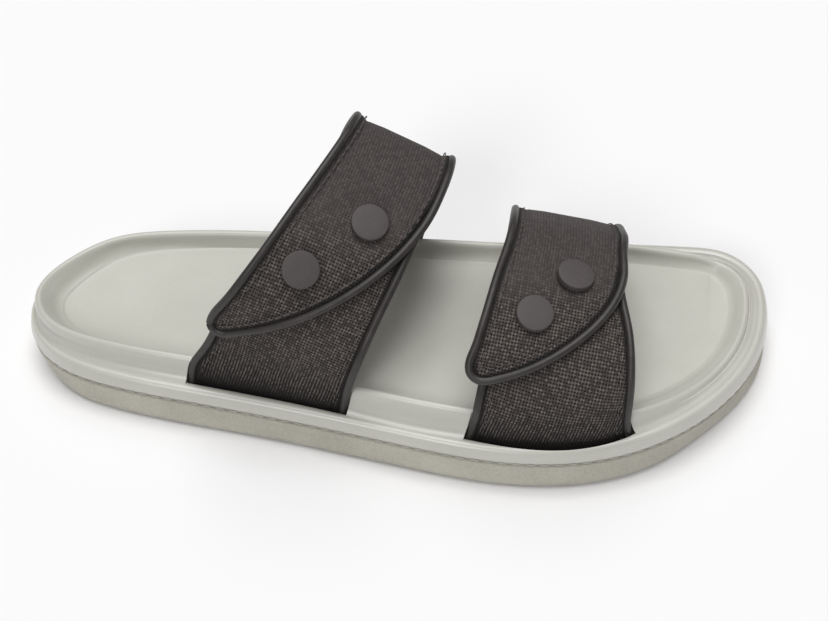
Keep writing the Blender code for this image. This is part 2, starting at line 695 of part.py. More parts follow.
def make_snap(name, strap, sheet, s, t, flap, tab, material):
    """The cap half on the flap and the stud half on the tab, each with a hole for its post."""
    radius, post = SNAP_CAP_DIAMETER / 2, SNAP_POST_DIAMETER / 2
    under = float(flap_lift(strap, np.array([s]))[0])
    top = snap_place(sheet, strap, s, t, under + STRAP_THICKNESS)
    rise, foot = SNAP_CLEARANCE + 0.0002, SNAP_CAP_HEIGHT + SNAP_CLEARANCE
    cap = [
        (0, -STRAP_THICKNESS),
        (post, -STRAP_THICKNESS),
        (post, rise),
        (radius * 0.90, rise),
        (radius, rise + 0.25 * SNAP_CAP_HEIGHT),
        (radius, foot - 0.35 * SNAP_CAP_HEIGHT),
        (radius * 0.94, foot - 0.08 * SNAP_CAP_HEIGHT),
        (radius * 0.60, foot + 0.0001),
        (0, foot + 0.0002),
    ]
    turned_piece(f"snap_cap_{name}", cap, top, material)
    bottom = snap_place(sheet, strap, s, t, 0.0)
    flange = SNAP_FLANGE_DIAMETER / 2
    low = -SNAP_CLEARANCE - SNAP_FLANGE_HEIGHT
    stud = [
        (0, low - 0.0002),
        (flange * 0.80, low - 0.0001),
        (flange, low + 0.4 * SNAP_FLANGE_HEIGHT),
        (flange, -SNAP_CLEARANCE),
        (post, -SNAP_CLEARANCE),
        (post, STRAP_THICKNESS),
        (0, STRAP_THICKNESS),
    ]
    turned_piece(f"snap_stud_{name}", stud, bottom, material)
    hole = [(0, -0.004), (post + SNAP_CLEARANCE, -0.004), (post + SNAP_CLEARANCE, 0.009), (0, 0.009)]
    cutter = turned_piece(f"snap_hole_{name}", hole, bottom, None)
    cut(flap, cutter, f"hole_{name}")
    cut(tab, cutter, f"hole_{name}")


def slot_cutter(name, strap, sheet, side, inset, outward):
    """The strap's end with its piping, grown by a clearance. Grown outward too, it opens the rim's flank."""
    thick = PIPING_DIAMETER / 2 + LAYER_GAP
    lift_low, lift_high = STRAP_THICKNESS / 2 - thick, STRAP_THICKNESS / 2 + thick + outward
    beyond = 1.25 * PIPING_DIAMETER + 3 * LAYER_GAP
    s_end = 0.0 if side == 0 else 1.0
    reach = share_along(sheet, 0.02 if side == 0 else 0.98, 0.5, SLOT_DEPTH + SLOT_NOTCH_HEIGHT)
    bm = bmesh.new()
    rows = []
    for s in np.linspace(s_end, s_end + reach * (1 - 2 * side), 8):
        back = -share_across(sheet, s, beyond - inset[0])[0]
        front = 1 + share_across(sheet, s, beyond - inset[1])[0]
        t = np.linspace(back, front, 10)
        low, high = sheet(s, t, lift_low)[0], sheet(s, t, lift_high)[0]
        rows.append(np.vstack([low, high[::-1]]))
    down = rows[0] - rows[1]
    down /= np.linalg.norm(down, axis=1)[:, None]
    rows.insert(0, rows[0] + 2 * LAYER_GAP * down)
    made = loft_rings(bm, rows)
    bm.faces.new(made[0][::-1])
    bm.faces.new(made[-1])
    return new_object(name, bm, None)


def clear_scene():
    for old in list(bpy.data.objects):
        bpy.data.objects.remove(old)


def main():
    clear_scene()
    sole_skin = make_material("moulded_footbed", SOLE_GREY, 0.45)
    side_skin = make_material("matt_outsole", SIDE_GREY, 0.75)
    cloth = make_material("woven_strap", STRAP_BROWN, 0.85)
    cord = make_material("soft_piping", PIPING_BROWN, 0.50)
    cap = make_material("snap_cap", SNAP_BROWN, 0.55)

    make_outsole(side_skin)
    midsole = make_midsole(sole_skin)
    footbed = make_footbed(sole_skin)
    for place, strap in STRAPS.items():
        sheet = strap_sheet(strap)
        tab = make_tab(f"{place}_strap_tab", strap, sheet, cloth)
        flap = make_flap(f"{place}_strap_flap", strap, sheet, cloth)
        make_piping(f"{place}_flap_piping", flap_piping_path(strap, sheet), cord)
        make_piping(f"{place}_tab_piping_back", tab_piping_path(strap, sheet, 0), cord)
        make_piping(f"{place}_tab_piping_front", tab_piping_path(strap, sheet, 1), cord)
        for level, (s, t) in strap["snaps"].items():
            make_snap(f"{place}_{level}", strap, sheet, s, t, flap, tab, cap)
        for side, word in ((0, "lateral"), (1, "medial")):
            inset = strap["tab_inset"] if side == 0 else (0.0, 0.0)
            slot = slot_cutter(f"slot_{place}_{word}", strap, sheet, side, inset, 0.0)
            cut(midsole, slot, f"slot_{place}_{word}")
            notch = slot_cutter(f"notch_{place}_{word}", strap, sheet, side, inset, NOTCH_OUTWARD)
            cut(footbed, notch, f"notch_{place}_{word}")


main()
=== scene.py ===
import math

import bmesh
import bpy
import numpy as np
from mathutils import Matrix, Vector


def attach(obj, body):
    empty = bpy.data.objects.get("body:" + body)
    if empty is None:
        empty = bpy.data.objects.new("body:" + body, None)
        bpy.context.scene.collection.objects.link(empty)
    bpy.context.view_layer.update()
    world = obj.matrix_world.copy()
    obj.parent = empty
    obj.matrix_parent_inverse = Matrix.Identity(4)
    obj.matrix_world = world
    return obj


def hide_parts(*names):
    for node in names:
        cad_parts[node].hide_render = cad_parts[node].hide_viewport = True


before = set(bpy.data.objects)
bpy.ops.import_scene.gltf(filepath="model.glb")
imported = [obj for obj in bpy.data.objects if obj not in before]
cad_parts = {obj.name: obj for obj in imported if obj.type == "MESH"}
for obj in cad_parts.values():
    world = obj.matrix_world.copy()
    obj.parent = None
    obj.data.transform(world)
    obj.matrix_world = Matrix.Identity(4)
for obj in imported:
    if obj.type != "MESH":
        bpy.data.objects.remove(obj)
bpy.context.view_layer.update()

# The sole, in metres
SOLE_LENGTH = 0.280
SOLE_WIDTH = 0.108
OUTSOLE_TOP = 0.0122
MIDSOLE_BOTTOM = 0.0125
PLATE_TOP = 0.0155
WELT_TOP = 0.0192
VALLEY_HEIGHT = 0.0188
TOE_SPRING = 0.0022
TOE_SPRING_START = 0.35
HEEL_LIFT = 0.0035
EDGE_TUCK = 0.0052
LAYER_GAP = 0.0003
RIM_HEIGHT_UNIT = 0.0285
RIM_INSET_UNIT = 0.0095
RIM_RADIUS = 0.0011
WALL_WIDTH_UNIT = 0.0090
WALL_DEPTH_UNIT = 0.0070
HEEL_CUP_DEPTH = 0.0015
TREAD_WIDTH, TREAD_DEPTH, TREAD_PITCH, TREAD_BORDER = 0.0030, 0.0018, 0.0130, 0.0110

# The straps and the snaps
STRAP_THICKNESS = 0.0026
PIPING_RADIUS = 0.0014
PIPING_SWELL = 1.07
SLOT_DEPTH = 0.0042
SLOT_NOTCH_HEIGHT = 0.0140
NOTCH_OUTWARD = 0.0014
SNAP_RADIUS = 0.00655
SNAP_HEIGHT = 0.0017
SNAP_CLEARANCE = 0.0004
LEAN_DIRECTION = (0.55, 0.50, 0.67)

# Details that only the picture has
STATIONS = 240
RIM_STEPS = 58
STITCH_PITCH = 0.0050
STITCH_LENGTH = 0.0036
STITCH_RADIUS = 0.00042
SCALLOP_PITCH = 0.0048
SCALLOP_DEPTH = 0.00028
EDGE_TRIM = 0.0012
CLOTH_TUCK = 0.0010
TAB_CORNER = 0.0080
SHOULDER = 0.0020
SEAM_INSET = 0.0031
SEAM_DEPTH = 0.00028
SEAM_WIDTH = 0.0007
PILLOW_HEIGHT = 0.00035
PILLOW_REACH = 0.011
SNAP_DIP = 0.00055
SNAP_DIP_RADIUS = 0.0085
TAB_SAG = 0.0010
SEWING_PITCH = 0.0031
SEWING_LENGTH = 0.0023
SEWING_RADIUS = 0.00024
WEAVE_PITCH = 0.00108
FLOOR_SMOOTHING = 40
HEEL_SMOOTHING = 150

# Along is a share of the length from the heel; medial and lateral are shares of the width.
OUTLINE = [
    (0.000, -0.033, 0.033),
    (0.025, 0.134, 0.215),
    (0.075, 0.272, 0.314),
    (0.147, 0.354, 0.364),
    (0.254, 0.409, 0.392),
    (0.397, 0.429, 0.424),
    (0.540, 0.445, 0.467),
    (0.665, 0.496, 0.491),
    (0.790, 0.578, 0.435),
    (0.880, 0.600, 0.303),
    (0.941, 0.591, 0.139),
    (0.984, 0.494, -0.063),
    (1.000, 0.300, -0.300),
]

# Along, then the medial rim's inset, height, wall and depth, then the lateral rim's.
RIM = [
    (0.00, 0.45, 0.93, 0.95, 0.98, 0.44, 0.93, 0.95, 0.98),
    (0.08, 0.78, 1.02, 0.56, 0.93, 0.87, 0.94, 0.70, 1.00),
    (0.20, 0.96, 1.02, 0.38, 0.94, 0.95, 0.98, 0.50, 0.92),
    (0.38, 1.00, 1.06, 0.38, 0.94, 0.98, 0.98, 0.42, 0.82),
    (0.55, 1.00, 1.13, 0.46, 1.01, 0.82, 1.07, 0.46, 0.80),
    (0.70, 1.06, 1.03, 0.61, 0.89, 1.00, 1.00, 0.75, 0.70),
    (0.88, 1.11, 0.84, 0.53, 0.76, 0.92, 0.84, 0.99, 0.74),
    (0.95, 1.14, 0.745, 0.62, 0.59, 0.92, 0.745, 0.84, 0.58),
    (1.00, 0.93, 0.73, 0.74, 0.62, 0.93, 0.73, 0.74, 0.62),
]

# Along, then the bottom edge's share of the edge tuck, the heel lift and the toe spring.
BOTTOM_EDGE = [
    (0.00, 1.00, 0.90, 0.00),
    (0.04, 0.42, 0.30, 0.00),
    (0.09, 0.04, 0.03, 0.00),
    (0.15, -0.06, 0.00, 0.00),
    (0.40, -0.06, 0.00, 0.00),
    (0.75, 0.06, 0.00, 0.00),
    (0.86, 0.06, 0.00, 0.24),
    (0.94, 0.35, 0.00, 0.18),
    (1.00, -0.23, 0.00, 0.63),
]

# Back across, back up, front across, front up, back lean, front lean.
INSTEP_SECTION = [
    (0.000, 0.000, 0.000, 0.000, 0.00, 0.00),
    (0.016, 0.128, -0.002, 0.126, -0.01, 0.04),
    (0.009, 0.295, -0.014, 0.309, 0.12, 0.13),
    (0.019, 0.481, 0.004, 0.474, 0.27, 0.26),
    (0.043, 0.654, 0.101, 0.625, 0.45, 0.41),
    (0.160, 0.785, 0.244, 0.769, 0.64, 0.60),
    (0.431, 0.900, 0.480, 0.909, 0.84, 0.82),
    (0.745, 1.000, 0.744, 1.000, 1.00, 1.00),
    (0.939, 0.955, 0.895, 0.952, 1.01, 0.98),
    (1.030, 0.834, 1.000, 0.800, 0.84, 0.84),
    (1.075, 0.592, 1.058, 0.554, 0.58, 0.52),
    (1.055, 0.337, 1.030, 0.270, 0.32, 0.22),
    (1.010, 0.107, 1.000, 0.120, 0.08, 0.08),
    (1.000, 0.000, 1.000, 0.000, 0.00, 0.00),
]
BALL_SECTION = [
    (0.000, 0.000, 0.000, 0.000, 0.00, 0.00),
    (0.009, 0.127, -0.018, 0.117, 0.11, 0.14),
    (0.004, 0.422, -0.014, 0.426, 0.24, 0.22),
    (0.078, 0.640, 0.038, 0.672, 0.35, 0.27),
    (0.150, 0.775, 0.157, 0.823, 0.50, 0.44),
    (0.282, 0.895, 0.294, 0.920, 0.68, 0.76),
    (0.488, 0.967, 0.500, 1.000, 0.89, 1.00),
    (0.648, 1.000, 0.612, 0.973, 1.00, 1.02),
    (0.786, 0.914, 0.713, 0.889, 0.95, 0.94),
    (0.896, 0.790, 0.835, 0.740, 0.84, 0.84),
    (0.980, 0.588, 0.925, 0.530, 0.60, 0.60),
    (1.013, 0.356, 0.975, 0.320, 0.34, 0.34),
    (1.000, 0.120, 1.000, 0.130, 0.08, 0.08),
    (1.000, 0.000, 1.000, 0.000, 0.00, 0.00),
]

# Along the strap from its lateral slot, then how much of EDGE_TRIM is cut from its back edge.
REAR_BACK_TRIM = [
    (0.00, 0.0),
    (0.04, 1.0),
    (0.08, 1.5),
    (0.12, 1.0),
    (0.17, 0.1),
    (0.25, -0.5),
    (0.31, -1.0),
    (0.48, -1.0),
    (0.56, 0.0),
    (1.00, 0.0),
]
NO_TRIM = [(0.0, 0.0), (1.0, 0.0)]

# Places along are shares of the sole's length, at the strap's back and front edges. Heights are in
# metres above the slots' feet. Each snap has its places along and across the strap, and its lean.
STRAPS = {
    "rear": {
        "lateral": (0.2508, 0.4573),
        "crown": (0.4343, 0.5516),
        "medial": (0.3462, 0.4975),
        "heights": (0.0781, 0.0655),
        "section": INSTEP_SECTION,
        "tab_inset": (0.0029, 0.0015),
        "tab_end": 0.50,
        "flap_corner": 0.162,
        "flap_merge": 0.482,
        "flap_sweep": (1.22, 1.87),
        "corner_radius": 0.0050,
        "snaps": {"lower": (0.312, 0.294, 0.0), "upper": (0.415, 0.589, 0.0)},
        "slot_bulge": 0.0006,
        "back_trim": REAR_BACK_TRIM,
        "crown_sag": 0.0013,
        "weave_turn": 7.0,
    },
    "front": {
        "lateral": (0.6053, 0.8213),
        "crown": (0.6526, 0.7831),
        "medial": (0.6430, 0.7523),
        "heights": (0.0491, 0.0439),
        "section": BALL_SECTION,
        "tab_inset": (0.0064, 0.0011),
        "tab_end": 0.50,
        "flap_corner": 0.191,
        "flap_merge": 0.451,
        "flap_sweep": (1.45, 1.69),
        "corner_radius": 0.0050,
        "snaps": {"lower": (0.333, 0.318, 0.04), "upper": (0.424, 0.611, 0.18)},
        "slot_bulge": 0.0026,
        "back_trim": NO_TRIM,
        "crown_sag": 0.0006,
        "weave_turn": -6.0,
    },
}


FLOOR_COLOUR = (0.90, 0.895, 0.90, 1.0)
SURROUND = 0.18

# Energy, width in degrees, then the direction towards each light.
LIGHTS = {
    "top": (1.78, 45, 0.0, 0.0, 1.0),
    "front": (0.80, 20, -0.21, -0.79, 0.57),
    "back": (0.66, 45, -0.12, 0.45, 0.88),
}

CAMERA_PLACE = (0.06179, -0.37980, 0.41177)
CAMERA_TARGET = (0.00261, -0.00613, 0.02)
CAMERA_LENS = 62.773
CAMERA_SHIFT = (0.01691, 0.02355)


def smooth_curve(points, closed=False):
    """A cubic spline through points of any dimension, as its knots and a function of distance."""
    points = np.array(points, float)
    if closed:
        points = np.vstack([points, points[:1]])
    step = np.linalg.norm(np.diff(points, axis=0), axis=1)
    knots = np.concatenate([[0.0], np.cumsum(step)])
    count = len(knots)
    matrix, right = np.zeros((count, count)), np.zeros(points.shape)
    rise = np.diff(points, axis=0) / step[:, None]
    for i in range(1, count - 1):
        matrix[i, i - 1 : i + 2] = 1 / step[i - 1], 2 / step[i - 1] + 2 / step[i], 1 / step[i]
        right[i] = 3 * (rise[i - 1] / step[i - 1] + rise[i] / step[i])
    if closed:
        matrix[0, 0], matrix[0, -1] = 1, -1
        matrix[-1, [0, 1, -2, -1]] = 2 / step[0], 1 / step[0], 1 / step[-1], 2 / step[-1]
        right[-1] = 3 * (rise[0] / step[0] + rise[-1] / step[-1])
    else:
        matrix[0, :2] = 2, 1
        matrix[-1, -2:] = 1, 2
        right[0], right[-1] = 3 * rise[0], 3 * rise[-1]
    slopes = np.linalg.solve(matrix, right)

    def at(distance):
        distance = np.atleast_1d(np.asarray(distance, float))
        i = np.clip(np.searchsorted(knots, distance, side="right") - 1, 0, count - 2)
        size = step[i][:, None]
        q = (distance - knots[i])[:, None] / size
        return (
            points[i] * (1 + 2 * q) * (1 - q) ** 2
            + points[i + 1] * (3 - 2 * q) * q**2
            + slopes[i] * size * q * (1 - q) ** 2
            - slopes[i + 1] * size * q**2 * (1 - q)
        )

    return knots, at


def smooth_step(value, low, high):
    """0 below low, 1 above high, and a soft S between them."""
    q = np.clip((value - low) / (high - low), 0, 1)
    return q * q * (3 - 2 * q)


def table_column(table, column, along):
    """A column of a table read at shares of the length, with a smooth curve between its rows."""
    rows = np.array(table, float)
    stations, values = rows[:, 0], rows[:, column]
    slopes = np.gradient(values, stations)
    along = np.clip(along, stations[0], stations[-1])
    i = np.clip(np.searchsorted(stations, along, side="right") - 1, 0, len(stations) - 2)
    size = stations[i + 1] - stations[i]
    q = (along - stations[i]) / size
    return (
        values[i] * (1 + 2 * q) * (1 - q) ** 2
        + values[i + 1] * (3 - 2 * q) * q**2
        + slopes[i] * size * q * (1 - q) ** 2
        - slopes[i + 1] * size * q**2 * (1 - q)
    )


def sole_outline(steps):
    """The outline as points that start at the heel, run along the medial side to the toe, and return."""
    rows = np.array(OUTLINE, float)
    medial = [(row[0] * SOLE_LENGTH, row[1] * SOLE_WIDTH) for row in rows]
    lateral = [(row[0] * SOLE_LENGTH, -row[2] * SOLE_WIDTH) for row in rows[1:-1]]
    knots, at = smooth_curve(medial + lateral[::-1], closed=True)
    toe, end = knots[len(medial) - 1], knots[-1]
    fine = at(np.linspace(0, end, 721))
    middle = (fine.min(axis=0) + fine.max(axis=0)) / 2

    def even(start, stop):
        places = np.linspace(start, stop, steps * 12 + 1)
        walked = np.concatenate([[0], np.cumsum(np.linalg.norm(np.diff(at(places), axis=0), axis=1))])
        return np.interp(np.linspace(0, walked[-1], steps + 1)[:-1], walked, places)

    places = np.concatenate([even(0, toe), even(toe, end)])
    step = end / 5000
    ahead = at((places + step) % end) - at((places - step) % end)
    ahead /= np.linalg.norm(ahead, axis=1)[:, None]
    return at(places) - middle, np.stack([ahead[:, 1], -ahead[:, 0]], axis=1)


OUTLINE_POINTS, INWARD = sole_outline(STATIONS)
HEEL_X = OUTLINE_POINTS[:, 0].min()
ON_MEDIAL = np.arange(2 * STATIONS) <= STATIONS
ALONG = (OUTLINE_POINTS[:, 0] - HEEL_X) / SOLE_LENGTH
STEPS = np.linalg.norm(np.diff(np.vstack([OUTLINE_POINTS, OUTLINE_POINTS[:1]]), axis=0), axis=1)
WALKED = np.concatenate([[0], np.cumsum(STEPS)])


def link(thing):
    bpy.context.scene.collection.objects.link(thing)


def share_of_length(x):
    return (x - HEEL_X) / SOLE_LENGTH


def place_on_length(share):
    return HEEL_X + share * SOLE_LENGTH


def rim_column(column):
    """One of the rim's measures at each station, from the side that the station is on."""
    return np.where(ON_MEDIAL, table_column(RIM, column, ALONG), table_column(RIM, column + 4, ALONG))


def toe_spring(x):
    rise = np.clip((share_of_length(x) - TOE_SPRING_START) / (1 - TOE_SPRING_START), 0, 1)
    return TOE_SPRING * rise**2


RIM_INSET = RIM_INSET_UNIT * rim_column(1)
RIM_HEIGHT = RIM_HEIGHT_UNIT * rim_column(2)
WALL_WIDTH = WALL_WIDTH_UNIT * rim_column(3)
WALL_DEPTH = WALL_DEPTH_UNIT * rim_column(4)
VALLEY_INSET = RIM_INSET / 2


def sole_ring(inset, height, spring=True):
    """A ring of the sole: the outline drawn in by inset, at a height that follows the toe spring."""
    plan = OUTLINE_POINTS + INWARD * np.broadcast_to(inset, len(ALONG))[:, None]
    rise = toe_spring(plan[:, 0]) if spring else 0
    return np.column_stack([plan, np.broadcast_to(height, len(ALONG)) + rise])


def sole_rings(rows, spring=True):
    """Rings of the sole from rows of (inset, height)."""
    return [sole_ring(inset, height, spring) for inset, height in rows]


def smooth_rings(rings, count):
    """More rings between the given ones, on smooth curves through them."""
    stack = np.array(rings)
    knots, at = smooth_curve(stack.reshape(len(stack), -1))
    return list(at(np.linspace(0, knots[-1], count)).reshape(count, -1, 3))


def half_widths(x, inset):
    """The lateral and medial y of the outline drawn in by inset, at a place along the length."""
    ring = sole_ring(inset, 0.0)
    medial = ring[: STATIONS + 1]
    lateral = np.vstack([ring[STATIONS:], ring[:1]])[::-1]
    return np.interp(x, lateral[:, 0], lateral[:, 1]), np.interp(x, medial[:, 0], medial[:, 1])


def strap_sheet(strap):
    """A function of s, from the lateral to the medial slot, t, from back to front, and lift."""
    inner_face = VALLEY_INSET + STRAP_THICKNESS + 2 * LAYER_GAP
    base_height = WELT_TOP - SLOT_DEPTH
    edges = []
    for side in (0, 1):
        lateral_x = place_on_length(strap["lateral"][side])
        medial_x = place_on_length(strap["medial"][side])
        crown_x = place_on_length(strap["crown"][side])
        lateral_y = half_widths(lateral_x, inner_face)[0]
        medial_y = half_widths(medial_x, inner_face)[1]
        height = strap["heights"][side]
        crown_row = max(range(len(strap["section"])), key=lambda k: strap["section"][k][2 * side + 1])
        line = []
        for k, row in enumerate(strap["section"]):
            foot_x = lateral_x if k <= crown_row else medial_x
            across, up, lean = row[2 * side], row[2 * side + 1], row[4 + side]
            x = foot_x + (crown_x - foot_x) * lean
            y = lateral_y + (medial_y - lateral_y) * across
            line.append((x, y, base_height + height * up + float(toe_spring(x)) * (1 - up)))
        edges.append(line)
    knots, at = smooth_curve(np.hstack(edges))
    length = knots[-1]

    def bow(s, t, side):
        s_end = 0.0 if side == 0 else 1.0
        corners = at(s_end * length)[0]
        x = corners[0] * (1 - t) + corners[3] * t
        chord = corners[1] * (1 - t) + corners[4] * t
        off = half_widths(x, inner_face)[side] - chord
        return off * (1 - smooth_step(np.abs(s - s_end), 0.04, 0.30))

    def base(s, t):
        both = at(s * length)
        point = both[:, :3] * (1 - t)[:, None] + both[:, 3:] * t[:, None]
        beside = np.clip(t, -0.1, 1.1)
        point[:, 1] += bow(s, beside, 0) + bow(s, beside, 1)
        point[:, 0] += EDGE_TRIM * table_column(strap["back_trim"], 1, s) * (1 - beside)
        return point

    def sheet(s, t, lift):
        s, t, lift = np.broadcast_arrays(*(np.atleast_1d(np.asarray(v, float)) for v in (s, t, lift)))
        shape = s.shape
        s, t, lift = s.ravel(), t.ravel(), lift.ravel()
        step = 0.002
        low, high = np.clip(s - step, 0, 1), np.clip(s + step, 0, 1)
        normal = np.cross(base(s, t + step) - base(s, t - step), base(high, t) - base(low, t))
        normal /= np.linalg.norm(normal, axis=1)[:, None]
        return (base(s, t) + normal * lift[:, None]).reshape(*shape, 3), normal.reshape(*shape, 3)

    return sheet


def share_across(sheet, s, distance):
    """A distance in metres across the strap as a share of its width at s."""
    width = np.linalg.norm(sheet(s, 1.0, 0.0)[0] - sheet(s, 0.0, 0.0)[0], axis=-1)
    return distance / width


def share_along(sheet, s, t, distance):
    """A distance in metres along the strap as a share of its length near s."""
    span = np.linalg.norm(sheet(s + 0.01, t, 0.0)[0] - sheet(s - 0.01, t, 0.0)[0], axis=-1)[0]
    return distance * 0.02 / span


def flap_lift(strap, s):
    """The flap's inner face: over the tab at first, and down to the foot past the tab's end."""
    over_tab = 2 * PIPING_RADIUS + 2 * LAYER_GAP
    return over_tab * (1 - smooth_step(s, strap["tab_end"] - 0.10, strap["tab_end"] + 0.26))


def flap_end(strap, sheet, t):
    """Where the flap ends: a corner at the back edge, and a curve that runs out along the front edge."""
    t = np.clip(np.atleast_1d(np.asarray(t, float)), 0, 1)
    corner, merge = strap["flap_corner"], strap["flap_merge"]
    start, finish = strap["flap_sweep"]
    sweep = 1 - (1 - t**start) ** (1 / finish)
    radius_s = share_along(sheet, corner, 0.0, strap["corner_radius"])
    radius_t = share_across(sheet, corner, strap["corner_radius"])[0]
    inside = np.clip(1 - t / radius_t, 0, 1)
    return corner + (merge - corner) * sweep + radius_s * (1 - np.sqrt(1 - inside**2))


def flat_pattern(sheet, turn):
    """The strap laid flat without stretch: a function of s and t that gives places on the flat cloth."""
    knots = np.linspace(0, 1, 241)
    back, front = sheet(knots, 0.0, 0.0)[0], sheet(knots, 1.0, 0.0)[0]

    def beside(first, reach, second, other_reach):
        """The point left of the line from first to second, at the given distances from both."""
        ahead = second - first
        size = np.linalg.norm(ahead)
        ahead = ahead / size
        x = (reach**2 - other_reach**2 + size**2) / (2 * size)
        y = math.sqrt(max(reach**2 - x**2, 0.0))
        return first + ahead * x + np.array([-ahead[1], ahead[0]]) * y

    flat_back, flat_front = [np.zeros(2)], [np.array([np.linalg.norm(front[0] - back[0]), 0.0])]
    for k in range(1, len(knots)):
        step, cross = np.linalg.norm(back[k] - back[k - 1]), np.linalg.norm(back[k] - front[k - 1])
        flat_back.append(beside(flat_back[-1], step, flat_front[-1], cross))
        step, width = np.linalg.norm(front[k] - front[k - 1]), np.linalg.norm(front[k] - back[k])
        flat_front.append(beside(flat_back[-1], width, flat_front[-1], step))
    flat_back, flat_front = np.array(flat_back), np.array(flat_front)
    middle = (flat_back + flat_front) / 2
    upward = middle[96] - middle[24]
    angle = math.atan2(upward[0], upward[1]) - math.radians(turn)
    rotation = np.array([[math.cos(angle), math.sin(angle)], [-math.sin(angle), math.cos(angle)]])
    flat_back, flat_front = flat_back @ rotation, flat_front @ rotation

    def flat(s, t):
        """Places on the flat cloth."""
        places = []
        for axis in (0, 1):
            back_place = np.interp(s, knots, flat_back[:, axis])
            front_place = np.interp(s, knots, flat_front[:, axis])
            places.append(back_place * (1 - t) + front_place * t)
        return np.stack(places, axis=-1)

    return flat


def finish_piece(name, bm, material, nodes, smooth_angle=40):
    """A finished piece on the sandal's one body, in place of the CAD nodes that it shows."""
    bmesh.ops.recalc_face_normals(bm, faces=bm.faces)
    mesh = bpy.data.meshes.new(name)
    bm.to_mesh(mesh)
    bm.free()
    mesh.materials.append(material)
    mesh.shade_smooth()
    mesh.set_sharp_from_angle(angle=math.radians(smooth_angle))
    piece = bpy.data.objects.new(name, mesh)
    link(piece)
    if material is None:
        return piece
    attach(piece, "root")
    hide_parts(*nodes)
    return piece


def close_holes(bm):
    """Closes each open ring of a mesh with one face."""
    bmesh.ops.holes_fill(bm, edges=[edge for edge in bm.edges if edge.is_boundary], sides=0)


def grid(bm, places, uvs=None, marks=None, weld=2e-6):
    """A sheet of quads from a (rows, columns, 3) array of places, welded where its edges meet."""
    rows, columns = places.shape[:2]
    layers = {}
    for label in marks or {}:
        layers[label] = bm.verts.layers.float.get(label) or bm.verts.layers.float.new(label)
    if uvs is not None:
        layer = bm.loops.layers.uv.get("metres") or bm.loops.layers.uv.new("metres")
    made = bmesh.ops.create_grid(bm, x_segments=columns - 1, y_segments=rows - 1, size=1.0)["verts"]
    order = {vertex: k for k, vertex in enumerate(made)}
    for vertex, place in zip(made, places.reshape(-1, 3)):
        vertex.co = place
    for label, values in (marks or {}).items():
        for vertex, value in zip(made, values.ravel()):
            vertex[layers[label]] = value
    if uvs is not None:
        flat = uvs.reshape(-1, 2)
        for face in {face for vertex in made for face in vertex.link_faces}:
            for loop in face.loops:
                loop[layer].uv = flat[order[loop.vert]]
    bmesh.ops.remove_doubles(bm, verts=made, dist=weld)


def closed_rings(rings):
    """Rings with their first point again at the end, and their distances along and down the surface."""
    places = np.array([np.vstack([ring, ring[:1]]) for ring in rings])
    down = np.concatenate([[0], np.cumsum(np.linalg.norm(np.diff(places, axis=0), axis=2).mean(axis=1))])
    uvs = np.stack(np.broadcast_arrays(WALKED[None, :], down[:, None]), axis=2)
    return places, uvs


def apply_cuts(piece, cutters):
    """Cuts the cutters out of a piece for good and sharpens the new edges."""
    for cutter in cutters:
        modifier = piece.modifiers.new("cut", "BOOLEAN")
        modifier.operation, modifier.solver, modifier.object = "DIFFERENCE", "EXACT", cutter
    seen = piece.evaluated_get(bpy.context.evaluated_depsgraph_get())
    mesh = bpy.data.meshes.new_from_object(seen)
    piece.modifiers.clear()
    piece.data = mesh
    mesh.set_sharp_from_angle(angle=math.radians(38))


def bottom_lift(share):
    """How far the sole's foot stands off the floor at the heel and the toe."""
    heel = np.maximum(table_column(BOTTOM_EDGE, 2, share), 0)
    toe = np.maximum(table_column(BOTTOM_EDGE, 3, share), 0)
    return HEEL_LIFT * heel + TOE_SPRING * toe


def make_outsole(material):
    """The bottom unit: a matt wall with small scallops at its foot and a lip under the stitched seam."""
    edge = table_column(BOTTOM_EDGE, 1, ALONG) * EDGE_TUCK
    lift = bottom_lift(ALONG)
    count = round(WALKED[-1] / SCALLOP_PITCH)
    scallop = SCALLOP_DEPTH * np.abs(np.sin(math.pi * count * WALKED[:-1] / WALKED[-1])) ** 0.7
    top = OUTSOLE_TOP
    under = [
        (edge + 0.0240, 0.0),
        (edge + 0.0080, lift * 0.35),
        (edge + 0.0034, lift * 0.88),
    ]
    foot = [
        (edge + 0.0034, lift * 0.88),
        (edge + 0.0013, lift + 0.0006 + scallop),
        (edge + 0.0003, lift + 0.0019 + 0.6 * scallop),
        (edge * 0.85, lift * 0.9 + 0.0030),
    ]
    wall = [
        (0.0003 + edge * 0.25, top * 0.75),
        (0.0001, top - 0.0012),
        (0.0004, top - 0.0004),
        (0.0012, top - 0.0001),
    ]
    side = sole_rings(foot, spring=False) + sole_rings(wall)
    bm = bmesh.new()
    rings = sole_rings(under, spring=False) + smooth_rings(side, 30)[1:]
    grid(bm, *closed_rings(rings + [sole_ring(0.0030, top - 0.0001)]))
    close_holes(bm)
    piece = finish_piece("outsole_visual", bm, material, ["outsole"])
    bm = bmesh.new()
    bars = int(SOLE_LENGTH * 0.80 / TREAD_PITCH)
    for i in range(bars):
        x = (i - (bars - 1) / 2) * TREAD_PITCH
        lateral, medial = half_widths(x, TREAD_BORDER)
        size = Vector((TREAD_WIDTH, medial - lateral, 2 * TREAD_DEPTH, 1.0))
        lift_here = 0.35 * float(bottom_lift(share_of_length(x)))
        place = Matrix.Translation((x, (medial + lateral) / 2, lift_here))
        bmesh.ops.create_cube(bm, size=1.0, matrix=place @ Matrix.Diagonal(size))
    upright = [edge for edge in bm.edges if abs((edge.verts[0].co - edge.verts[1].co).z) > 0.001]
    bmesh.ops.bevel(bm, geom=upright, offset=0.0013, segments=3, affect="EDGES", profile=0.5, material=-1)
    cutter = finish_piece("tread_cutter", bm, None, None)
    apply_cuts(piece, [cutter])
    bpy.data.objects.remove(cutter)


